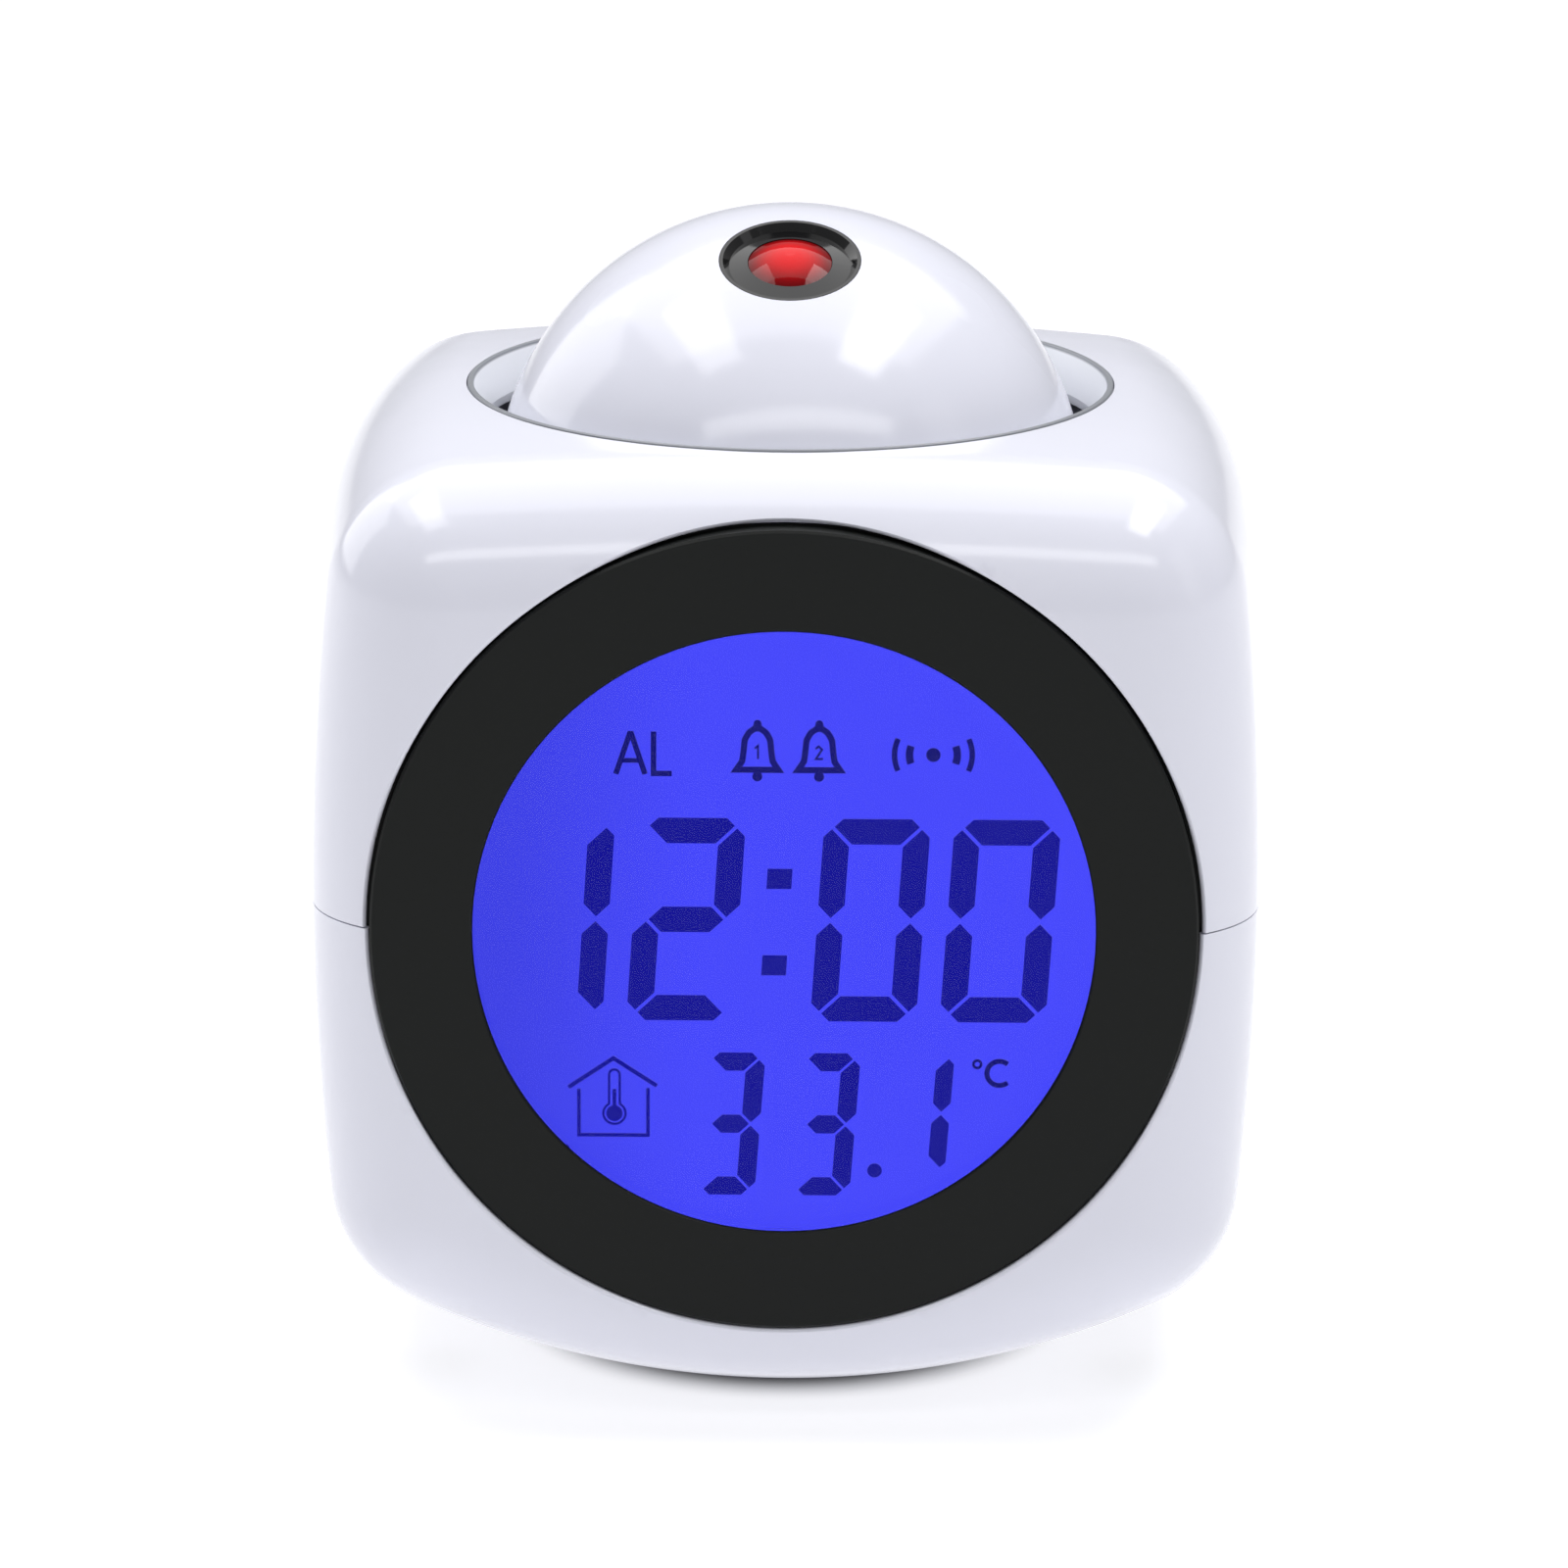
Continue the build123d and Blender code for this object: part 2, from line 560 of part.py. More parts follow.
with BuildPart() as board_screws:
    with BuildSketch(front_plane(board_back + 1.3)):
        with Locations(*bezel_post_spots):
            Circle(1.8)
    extrude(amount=1.3)
    with BuildSketch(front_plane(board_back)):
        with Locations(*bezel_post_spots):
            Circle(0.85)
    extrude(amount=BOARD_THICK + 4.5)
    with BuildSketch(front_plane(board_back + 1.3)):
        with Locations(*bezel_post_spots):
            Rectangle(2.2, CROSS_WIDTH)
            Rectangle(CROSS_WIDTH, 2.2)
    extrude(amount=0.7, mode=Mode.SUBTRACT)
board_screws.part.label = "board_screws"
export_step(board_screws.part, "parts/board_screws.step")

# On the board: the clock chip under its drop of resin, crystal, capacitor and heat sensor.
chip_r = 6.0
chip_h = 1.7
chip_sphere_r = (chip_r**2 + chip_h**2) / (2 * chip_h)
with BuildPart() as clock_chip:
    with Locations((CHIP_SPOT[0], board_back + chip_h - chip_sphere_r, seam + CHIP_SPOT[1])):
        Sphere(chip_sphere_r)
    split(bisect_by=Plane.XZ.offset(-board_back), keep=Keep.BOTTOM)
clock_chip.part.label = "clock_chip"
export_step(clock_chip.part, "parts/clock_chip.step")

crystal_r = 1.5
crystal_end = (CRYSTAL_SPOT[0], board_back + crystal_r, seam + CRYSTAL_SPOT[1])
with BuildPart() as crystal:
    with BuildSketch(Plane(origin=crystal_end, x_dir=(0, 1, 0), z_dir=(1, 0, 0))):
        Circle(crystal_r)
    extrude(amount=8)
    fillet(crystal.edges().filter_by(GeomType.CIRCLE).sort_by(Axis.X)[-1], radius=0.4)
crystal.part.label = "crystal"
export_step(crystal.part, "parts/crystal.step")

with BuildPart() as capacitor:
    with BuildSketch(front_plane(board_back)):
        with Locations(CAPACITOR_SPOT):
            Circle(2.5)
    extrude(amount=-5)
    fillet(capacitor.edges().filter_by(GeomType.CIRCLE).sort_by(Axis.Y)[-1], radius=0.5)
capacitor.part.label = "capacitor"
export_step(capacitor.part, "parts/capacitor.step")

sensor_rise = 2.6
with BuildPart() as heat_sensor:
    with Locations((SENSOR_SPOT[0], board_back + sensor_rise, seam + SENSOR_SPOT[1])):
        Sphere(SENSOR_LEG_PITCH)
    with BuildSketch(front_plane(board_back)):
        with Locations(SENSOR_SPOT):
            with GridLocations(SENSOR_LEG_PITCH, 1, 2, 1):
                Circle(0.3)
    extrude(amount=-sensor_rise)
heat_sensor.part.label = "heat_sensor"
export_step(heat_sensor.part, "parts/heat_sensor.step")

# ================================================================ the ball
lens_dir = Vector(0, -sin(radians(LENS_TILT)), cos(radians(LENS_TILT)))
ball_centre = Vector(0, 0, ball_z)
lens_axis = Axis(ball_centre, lens_dir)
# Section through the ball: sketch X is the clock's X, sketch Y runs out along the lens axis.
ball_section = Plane(
    origin=ball_centre,
    x_dir=(1, 0, 0),
    z_dir=(0, -cos(radians(LENS_TILT)), -sin(radians(LENS_TILT))),
)


def ball_level(height):
    """A sketch plane across the lens axis, at a height along it from the ball's centre."""
    return Plane(origin=ball_centre + lens_dir * height, x_dir=(1, 0, 0), z_dir=lens_dir)


ball_inner_r = BALL_R - BALL_WALL
barrel_r = 7.6
barrel_neck_r = MOUTH_R - 0.05
barrel_shoulder = sqrt(ball_inner_r**2 - barrel_r**2) - FIT
barrel_end = 0.8
collar_wall = 1.5
collar_depth = 7.0
ball_screw_x = 15.0
ball_post_r = 2.8
ball_screw_seat = -9.0
pin_reach = cradle_outer_r + 0.5

# Upper shell of the ball: mouth, collar for the barrel, screw posts and the two pins.
with BuildPart() as ball_cover:
    with BuildSketch(ball_section):
        Circle(BALL_R)
        Circle(ball_inner_r, mode=Mode.SUBTRACT)
        with Locations((barrel_r + FIT + collar_wall / 2, barrel_shoulder - collar_depth / 2)):
            Rectangle(collar_wall, collar_depth + 2)
        with Locations((BALL_R / 2, (BALL_R - BALL_SPLIT) / 2)):
            Rectangle(BALL_R, BALL_R + BALL_SPLIT, mode=Mode.INTERSECT)
    revolve(axis=lens_axis)
    with BuildSketch(ball_level(-BALL_SPLIT)):
        with Locations((ball_screw_x, 0), (-ball_screw_x, 0)):
            Circle(ball_post_r)
    extrude(amount=BALL_R)
    with Locations(ball_centre):
        Sphere(BALL_R, mode=Mode.INTERSECT)
    with BuildSketch(ball_level(0)):
        Circle(MOUTH_R)
    extrude(amount=BALL_R + 1, mode=Mode.SUBTRACT)
    with BuildSketch(ball_level(-BALL_SPLIT)):
        with Locations((ball_screw_x, 0), (-ball_screw_x, 0)):
            Circle(1.0)
    extrude(amount=8, mode=Mode.SUBTRACT)
    with BuildSketch(Plane.YZ.offset(-pin_reach)):
        with Locations((0, ball_z)):
            Circle(PIN_R)
    extrude(amount=pin_reach - ball_inner_r - 0.2)
    with BuildSketch(Plane.YZ.offset(ball_inner_r + 0.2)):
        with Locations((0, ball_z)):
            Circle(PIN_R)
    extrude(amount=pin_reach - ball_inner_r - 0.2)
ball_cover.part.label = "ball_cover"
export_step(ball_cover.part, "parts/ball_cover.step")

# Lower shell of the ball, with two screw wells and a slot for the lead.
with BuildPart() as ball_base:
    with BuildSketch(ball_section):
        Circle(BALL_R)
        Circle(ball_inner_r, mode=Mode.SUBTRACT)
        with Locations((BALL_R / 2, -BALL_SPLIT - BALL_R / 2)):
            Rectangle(BALL_R, BALL_R, mode=Mode.INTERSECT)
    revolve(axis=lens_axis)
    with BuildSketch(ball_level(-BALL_SPLIT)):
        with Locations((ball_screw_x, 0), (-ball_screw_x, 0)):
            Circle(ball_post_r)
    extrude(amount=-BALL_R)
    with Locations(ball_centre):
        Sphere(BALL_R, mode=Mode.INTERSECT)
    with BuildSketch(ball_level(ball_screw_seat)):
        with Locations((ball_screw_x, 0), (-ball_screw_x, 0)):
            Circle(2.1)
    extrude(amount=-BALL_R, mode=Mode.SUBTRACT)
    with BuildSketch(ball_level(ball_screw_seat - 1)):
        with Locations((ball_screw_x, 0), (-ball_screw_x, 0)):
            Circle(1.2)
    extrude(amount=BALL_R, mode=Mode.SUBTRACT)
    with BuildSketch(ball_level(-BALL_R - 1)):
        SlotOverall(*LEAD_SLOT)
    extrude(amount=BALL_WALL * 2, mode=Mode.SUBTRACT)
ball_base.part.label = "ball_base"
export_step(ball_base.part, "parts/ball_base.step")

with BuildPart() as ball_screws:
    with BuildSketch(ball_level(ball_screw_seat)):
        with Locations((ball_screw_x, 0), (-ball_screw_x, 0)):
            Circle(1.9)
    extrude(amount=-1.4)
    with BuildSketch(ball_level(ball_screw_seat)):
        with Locations((ball_screw_x, 0), (-ball_screw_x, 0)):
            Circle(0.95)
    extrude(amount=12)
    with BuildSketch(ball_level(ball_screw_seat - 1.4)):
        with Locations((ball_screw_x, 0), (-ball_screw_x, 0)):
            Rectangle(2.4, CROSS_WIDTH)
            Rectangle(CROSS_WIDTH, 2.4)
    extrude(amount=0.7, mode=Mode.SUBTRACT)
ball_screws.part.label = "ball_screws"
export_step(ball_screws.part, "parts/ball_screws.step")

# Black projector barrel: a rim flush with the ball, a low cone that rises to the lens, and a
# chamber behind it.
lens_r = 3.6
lens_edge = 1.6
lens_crown = 0.95
mouth_edge = sqrt(BALL_R**2 - barrel_neck_r**2)
lens_seat = mouth_edge - lens_edge - 0.3
valley_r = 5.25
valley_depth = 0.6
rim_band = 0.3
chamber_top = lens_seat - 7.6
chamber_r = 6.0
with BuildPart() as lens_barrel:
    with BuildSketch(ball_section):
        with BuildLine():
            Polyline(
                (lens_r + 0.05, lens_seat + lens_edge + 0.05),
                (valley_r, mouth_edge - valley_depth),
                (barrel_neck_r - rim_band, mouth_edge),
                (barrel_neck_r, mouth_edge),
                (barrel_neck_r, barrel_shoulder),
                (barrel_r, barrel_shoulder),
                (barrel_r, barrel_end),
                (chamber_r, barrel_end),
                (chamber_r, chamber_top),
                (lens_r - 0.6, chamber_top),
                (lens_r - 0.6, lens_seat),
                (lens_r + 0.05, lens_seat),
                close=True,
            )
        make_face()
    revolve(axis=lens_axis)
lens_barrel.part.label = "lens_barrel"
export_step(lens_barrel.part, "parts/lens_barrel.step")


def cap_radius(reach, height):
    """Sphere radius of a cap with the given edge radius and height."""
    return (reach**2 + height**2) / (2 * height)


# Red plano-convex projection lens in the barrel's mouth.
with BuildPart() as projection_lens:
    with BuildSketch(ball_section):
        with BuildLine():
            Polyline((0, lens_seat), (lens_r, lens_seat), (lens_r, lens_seat + lens_edge))
            RadiusArc(
                (lens_r, lens_seat + lens_edge),
                (0, lens_seat + lens_edge + lens_crown),
                -cap_radius(lens_r, lens_crown),
            )
            Line((0, lens_seat + lens_edge + lens_crown), (0, lens_seat))
        make_face()
    revolve(axis=lens_axis)
projection_lens.part.label = "projection_lens"
export_step(projection_lens.part, "parts/projection_lens.step")

# Small display film, then the condenser lens, the red lamp and its board.
film_half = 3.9
film_thick = 1.4
with BuildPart() as projection_film:
    with BuildSketch(ball_level(chamber_top - film_thick)):
        RectangleRounded(2 * film_half, 2 * film_half, 0.4)
    extrude(amount=film_thick)
projection_film.part.label = "projection_film"
export_step(projection_film.part, "parts/projection_film.step")

condenser_r = chamber_r - 0.05
condenser_edge = 1.2
condenser_crown = 1.3
condenser_top = chamber_top - film_thick - 0.3 - condenser_crown
with BuildPart() as condenser_lens:
    with BuildSketch(ball_section):
        with BuildLine():
            RadiusArc(
                (0, condenser_top + condenser_crown),
                (condenser_r, condenser_top),
                cap_radius(condenser_r, condenser_crown),
            )
            Line((condenser_r, condenser_top), (condenser_r, condenser_top - condenser_edge))
            RadiusArc(
                (condenser_r, condenser_top - condenser_edge),
                (0, condenser_top - condenser_edge - condenser_crown),
                cap_radius(condenser_r, condenser_crown),
            )
            Line((0, condenser_top - condenser_edge - condenser_crown), (0, condenser_top + condenser_crown))
        make_face()
    revolve(axis=lens_axis)
condenser_lens.part.label = "condenser_lens"
export_step(condenser_lens.part, "parts/condenser_lens.step")

lamp_r = 2.5
lamp_length = 5.6
with BuildPart() as projector_lamp:
    with BuildSketch(ball_level(barrel_end)):
        Circle(lamp_r + 0.4)
    extrude(amount=1)
    with BuildSketch(ball_level(barrel_end + 1)):
        Circle(lamp_r)
    extrude(amount=lamp_length - 1)
    fillet(projector_lamp.faces().sort_by(lens_axis)[-1].edges(), radius=lamp_r - 0.3)
projector_lamp.part.label = "projector_lamp"
export_step(projector_lamp.part, "parts/projector_lamp.step")

with BuildPart() as lamp_board:
    with BuildSketch(ball_level(barrel_end - 1.2)):
        Circle(barrel_r)
    extrude(amount=1.2)
lamp_board.part.label = "lamp_board"
export_step(lamp_board.part, "parts/lamp_board.step")

# ================================================================ the cradle and its chassis
# Cradle: half a hoop under the ball, a bearing at each end, an ear on each guide, a foot below.
cradle_foot_z = ball_z - cradle_outer_r - 1.3
with BuildPart() as head_cradle:
    with BuildSketch(Plane.XZ.offset(-CRADLE_WIDTH / 2)):
        with Locations((0, ball_z)):
            Circle(cradle_outer_r)
        with Locations((0, ear_z + EAR_THICK / 2)):
            Rectangle(2 * ear_reach, EAR_THICK)
        with Locations((0, ball_z + PIN_R)):
            Rectangle(2 * cradle_outer_r, 2 * PIN_R)
        with Locations((0, ball_z)):
            Circle(cradle_inner_r, mode=Mode.SUBTRACT)
        with Locations((0, ball_z + PIN_R)):
            Rectangle(2 * cradle_inner_r, 2 * PIN_R, mode=Mode.SUBTRACT)
        with Locations((0, ball_z + 2 * PIN_R + BALL_R)):
            Rectangle(4 * BALL_R, 2 * BALL_R, mode=Mode.SUBTRACT)
    extrude(amount=CRADLE_WIDTH)
    fillet(head_cradle.edges().filter_by(Axis.X).sort_by(Axis.Z)[-4:], radius=3)
    with BuildSketch(Plane.XY.offset(cradle_foot_z)):
        Circle(3.5)
    extrude(amount=2.5)
    with BuildSketch(Plane.XY.offset(ear_z - 1)):
        with Locations((guide_x, 0), (-guide_x, 0)):
            Circle(GUIDE_R + SLIDE_FIT)
    extrude(amount=EAR_THICK + 2, mode=Mode.SUBTRACT)
    with BuildSketch(Plane.YZ.offset(-half_w)):
        with Locations((0, ball_z)):
            Circle(PIN_R + SLIDE_FIT)
    extrude(amount=BODY_WIDTH, mode=Mode.SUBTRACT)
head_cradle.part.label = "head_cradle"
export_step(head_cradle.part, "parts/head_cradle.step")

snooze_screw_x = 5.8

# Chassis plate, clamped between the posts and the wells, with the cradle's two guides.
with BuildPart() as chassis:
    with BuildSketch(Plane.XY.offset(plate_z)):
        RectangleRounded(2 * (post_x + WELL_R + 1), 2 * (POST_Y + WELL_R + 0.4), WELL_R)
        with Locations(*post_spots):
            Circle(SCREW_R + 0.2, mode=Mode.SUBTRACT)
        with Locations((0, POST_Y - 2), (0, -POST_Y + 2)):
            RectangleRounded(post_x + 5, 7, 2, mode=Mode.SUBTRACT)
        with Locations((snooze_screw_x, 0), (-snooze_screw_x, 0)):
            Circle(KEY_SCREW_R, mode=Mode.SUBTRACT)
    extrude(amount=PLATE_THICK)
    with BuildSketch(Plane.XY.offset(plate_top)):
        with Locations((guide_x, 0), (-guide_x, 0)):
            Circle(GUIDE_SEAT_R)
    extrude(amount=spring_seat_z - plate_top)
    with BuildSketch(Plane.XY.offset(spring_seat_z)):
        with Locations((guide_x, 0), (-guide_x, 0)):
            Circle(GUIDE_R)
    extrude(amount=ear_z + EAR_THICK + 4 - spring_seat_z)
chassis.part.label = "chassis"
export_step(chassis.part, "parts/chassis.step")

# Two return springs on the guides, under the ears.
spring_r = GUIDE_R + 1.1
spring_length = ear_z - spring_seat_z
spring_turns = 5
with BuildPart() as cradle_springs:
    for side in (-1, 1):
        with BuildLine():
            coil = Helix(
                pitch=(spring_length - 2 * SPRING_WIRE_R) / spring_turns,
                height=spring_length - 2 * SPRING_WIRE_R,
                radius=spring_r,
                center=(side * guide_x, 0, spring_seat_z + SPRING_WIRE_R),
            )
        with BuildSketch(Plane(origin=coil @ 0, z_dir=coil % 0)):
            Circle(SPRING_WIRE_R)
        sweep(path=coil, is_frenet=True)
cradle_springs.part.label = "cradle_springs"
export_step(cradle_springs.part, "parts/cradle_springs.step")

# Snooze switch on its small board, under the cradle's foot.
snooze_board_thick = 1.2
snooze_plunger_top = cradle_foot_z - PRESS_TRAVEL - FIT
snooze_body_top = snooze_plunger_top - 0.8
with BuildPart() as snooze_board:
    with BuildSketch(Plane.XY.offset(plate_top)):
        RectangleRounded(16, 12, 1)
        with Locations((snooze_screw_x, 0), (-snooze_screw_x, 0)):
            Circle(KEY_SCREW_R + 0.2, mode=Mode.SUBTRACT)
    extrude(amount=snooze_board_thick)
snooze_board.part.label = "snooze_board"
export_step(snooze_board.part, "parts/snooze_board.step")

with BuildPart() as snooze_switch:
    with BuildSketch(Plane.XY.offset(plate_top + snooze_board_thick)):
        Rectangle(6, 6)
    extrude(amount=snooze_body_top - plate_top - snooze_board_thick)
    with BuildSketch(Plane.XY.offset(snooze_body_top)):
        Circle(1.7)
    extrude(amount=snooze_plunger_top - snooze_body_top)
snooze_switch.part.label = "snooze_switch"
export_step(snooze_switch.part, "parts/snooze_switch.step")

with BuildPart() as snooze_screws:
    with BuildSketch(Plane.XY.offset(plate_top + snooze_board_thick)):
        with Locations((snooze_screw_x, 0), (-snooze_screw_x, 0)):
            Circle(KEY_SCREW_R * 1.8)
    extrude(amount=KEY_SCREW_R * 1.3)
    with BuildSketch(Plane.XY.offset(plate_z)):
        with Locations((snooze_screw_x, 0), (-snooze_screw_x, 0)):
            Circle(KEY_SCREW_R - 0.05)
    extrude(amount=PLATE_THICK + snooze_board_thick)
snooze_screws.part.label = "snooze_screws"
export_step(snooze_screws.part, "parts/snooze_screws.step")


# ================================================================ the keys
def key_form(number):
    """One key, counted from the left of the back: a flange behind the shell and a cap through it."""
    with BuildPart() as key:
        with BuildSketch(key_plane.offset(key_back_y)):
            with Locations((key_spots[number], 0)):
                SlotOverall(KEY_LENGTH + 1.6, KEY_WIDTH + 1.6)
        extrude(amount=key_flange_thick)
        with BuildSketch(key_plane.offset(key_seat_y - FIT)):
            with Locations((key_spots[number], 0)):
                SlotOverall(KEY_LENGTH - FIT, KEY_WIDTH - FIT)
        extrude(amount=key_face_y - key_seat_y + FIT)
        fillet(key.faces().sort_by(Axis.Y)[-1].edges(), radius=KEY_PROUD * 0.7)
    return key


mode_key = key_form(0)
mode_key.part.label = "mode_key"
export_step(mode_key.part, "parts/mode_key.step")

set_key = key_form(1)
set_key.part.label = "set_key"
export_step(set_key.part, "parts/set_key.step")

up_key = key_form(2)
up_key.part.label = "up_key"
export_step(up_key.part, "parts/up_key.step")

down_key = key_form(3)
down_key.part.label = "down_key"
export_step(down_key.part, "parts/down_key.step")

# Board for the keys, its four switches and two screws.
with BuildPart() as key_board:
    with BuildSketch(key_plane.offset(key_board_back - BOARD_THICK)):
        RectangleRounded(key_board_w, key_board_h, 1)
        with Locations((KEY_PITCH, 0), (-KEY_PITCH, 0)):
            Circle(KEY_SCREW_R + 0.2, mode=Mode.SUBTRACT)
    extrude(amount=BOARD_THICK)
key_board.part.label = "key_board"
export_step(key_board.part, "parts/key_board.step")

with BuildPart() as key_switches:
    with BuildSketch(key_plane.offset(key_board_back)):
        with Locations(*[(x, 0) for x in key_spots]):
            Rectangle(KEY_SWITCH_W, KEY_SWITCH_W)
    extrude(amount=switch_body_h)
    with BuildSketch(key_plane.offset(key_board_back + switch_body_h)):
        with Locations(*[(x, 0) for x in key_spots]):
            Circle(KEY_SWITCH_W / 4)
    extrude(amount=switch_plunger_h)
key_switches.part.label = "key_switches"
export_step(key_switches.part, "parts/key_switches.step")

with BuildPart() as key_board_screws:
    with BuildSketch(key_plane.offset(key_board_back - BOARD_THICK - KEY_SCREW_R * 1.3)):
        with Locations((KEY_PITCH, 0), (-KEY_PITCH, 0)):
            Circle(KEY_SCREW_R * 1.8)
    extrude(amount=KEY_SCREW_R * 1.3)
    with BuildSketch(key_plane.offset(key_board_back - BOARD_THICK)):
        with Locations((KEY_PITCH, 0), (-KEY_PITCH, 0)):
            Circle(KEY_SCREW_R)
    extrude(amount=BOARD_THICK + 4.5)
key_board_screws.part.label = "key_board_screws"
export_step(key_board_screws.part, "parts/key_board_screws.step")

# ================================================================ the battery bay
bay_bottom = bay_z - bay_half_h
door_bottom = bay_z - door_half_h
saddle_top = cell_y - CELL_R / 2

# Flange of the battery box, kept clear of the shells' rounded walls.
with BuildPart() as bay_flange:
    with BuildSketch(bay_plane.offset(bay_seat_y - FIT - bay_flange_thick)):
        RectangleRounded(2 * (rim_half_w + bay_flange_reach), 2 * (rim_half_h + bay_flange_reach), 4)
    extrude(amount=bay_flange_thick)
    add(body_form(WALL + FIT), mode=Mode.INTERSECT)

# Battery box: a tray set into the back of both shells, with saddles for the cells.
with BuildPart() as battery_box:
    with BuildSketch(bay_plane.offset(bay_floor - BAY_WALL)):
        RectangleRounded(2 * (bay_half_w + BAY_WALL), 2 * (bay_half_h + BAY_WALL), 2)
    extrude(amount=bay_seat_y - bay_floor + BAY_WALL)
    with BuildSketch(bay_plane.offset(bay_seat_y - FIT)):
        RectangleRounded(2 * rim_half_w, 2 * rim_half_h, DOOR_CORNER_R + BAY_RIM)
    extrude(amount=half_d)
    add(outer_form, mode=Mode.INTERSECT)
    add(bay_flange.part)
    with BuildSketch(bay_plane.offset(bay_floor)):
        RectangleRounded(2 * bay_half_w, 2 * bay_half_h, 0.8)
    extrude(amount=half_d, mode=Mode.SUBTRACT)
    with BuildSketch(bay_plane.offset(door_inner - FIT)):
        RectangleRounded(2 * (door_half_w + DOOR_GAP), 2 * (door_half_h + DOOR_GAP), DOOR_CORNER_R + DOOR_GAP)
    extrude(amount=half_d, mode=Mode.SUBTRACT)
    # Saddles with hollows for the cells.
    for spot in (-SADDLE_X, SADDLE_X):
        with BuildSketch(Plane.YZ.offset(spot - SADDLE_THICK / 2)):
            with Locations(((bay_floor + saddle_top) / 2, bay_z)):
                Rectangle(saddle_top - bay_floor, 2 * bay_half_h)
            with Locations(*[(cell_y, z) for z in cell_spots]):
                Circle(CELL_R + FIT / 2, mode=Mode.SUBTRACT)
        extrude(amount=SADDLE_THICK)
    # Pockets for the door's two tabs.
    with BuildSketch(Plane.XY.offset(door_bottom - TAB_DROP - DOOR_GAP)):
        with Locations((TAB_X, door_inner - 0.95), (-TAB_X, door_inner - 0.95)):
            Rectangle(TAB_WIDTH + 0.6, TAB_DEPTH + 0.7)
    extrude(amount=bay_bottom - door_bottom + TAB_DROP + 2 * DOOR_GAP, mode=Mode.SUBTRACT)
battery_box.part.label = "battery_box"
export_step(battery_box.part, "parts/battery_box.step")

# Battery door: follows the back face; two tabs at its foot and a springy latch at its head.
with BuildPart() as battery_door:
    with BuildSketch(bay_plane.offset(door_inner)):
        RectangleRounded(2 * door_half_w, 2 * door_half_h, DOOR_CORNER_R)
    extrude(amount=half_d)
    add(outer_form, mode=Mode.INTERSECT)
    with BuildSketch(bay_plane.offset(door_inner - 1)):
        with Locations(
            ((LATCH_WIDTH + LATCH_SLOT) / 2, door_half_h - LATCH_LENGTH / 2),
            (-(LATCH_WIDTH + LATCH_SLOT) / 2, door_half_h - LATCH_LENGTH / 2),
        ):
            Rectangle(LATCH_SLOT, LATCH_LENGTH + LATCH_SLOT)
    extrude(amount=half_d, mode=Mode.SUBTRACT)
    with BuildSketch(bay_plane.offset(door_edge_y - GROOVE_DEPTH)):
        with Locations(*[(0, door_half_h - GROOVE_PITCH * (row + 1)) for row in range(3)]):
            SlotOverall(LATCH_WIDTH - 3, GROOVE_PITCH / 2)
    extrude(amount=half_d, mode=Mode.SUBTRACT)
    with BuildSketch(Plane.XY.offset(door_bottom - TAB_DROP)):
        with Locations((TAB_X, door_inner - TAB_DEPTH / 2), (-TAB_X, door_inner - TAB_DEPTH / 2)):
            Rectangle(TAB_WIDTH, TAB_DEPTH)
    extrude(amount=TAB_DROP + 1.3)
battery_door.part.label = "battery_door"
export_step(battery_door.part, "parts/battery_door.step")

cell_end = (CELL_LENGTH + CELL_NUB_H) / 2
cell_shift = bay_half_w - CONTACT_THICK - FIT / 2 - cell_end


def cell_form(row, turn):
    """A cell that lies along X, its nub towards +X (turn 1) or -X (turn -1)."""
    back = turn * (cell_shift - cell_end)
    with BuildPart() as cell:
        with BuildSketch(Plane(origin=(back, cell_y, cell_spots[row]), x_dir=(0, 1, 0), z_dir=(turn, 0, 0))):
            Circle(CELL_R)
        extrude(amount=CELL_LENGTH)
        fillet(cell.edges().filter_by(GeomType.CIRCLE), radius=0.6)
        with BuildSketch(Plane(origin=(back, cell_y, cell_spots[row]), x_dir=(0, 1, 0), z_dir=(turn, 0, 0))):
            Circle(CELL_NUB_R)
        extrude(amount=CELL_LENGTH + CELL_NUB_H)
    return cell


cell_top = cell_form(0, 1)
cell_top.part.label = "cell_top"
export_step(cell_top.part, "parts/cell_top.step")

cell_middle = cell_form(1, -1)
cell_middle.part.label = "cell_middle"
export_step(cell_middle.part, "parts/cell_middle.step")

cell_bottom = cell_form(2, 1)
cell_bottom.part.label = "cell_bottom"
export_step(cell_bottom.part, "parts/cell_bottom.step")

# Contact plates on the end walls: two that link a pair of cells, and two for the ends.
with BuildPart() as link_plates:
    with BuildSketch(Plane.YZ.offset(bay_half_w - CONTACT_THICK)):
        with Locations((cell_y, (cell_spots[0] + cell_spots[1]) / 2)):
            Rectangle(CONTACT_SIZE, CONTACT_SIZE + CELL_PITCH)
    extrude(amount=CONTACT_THICK)
    with BuildSketch(Plane.YZ.offset(-bay_half_w)):
        with Locations((cell_y, (cell_spots[1] + cell_spots[2]) / 2)):
            Rectangle(CONTACT_SIZE, CONTACT_SIZE + CELL_PITCH)
    extrude(amount=CONTACT_THICK)
link_plates.part.label = "link_plates"
export_step(link_plates.part, "parts/link_plates.step")

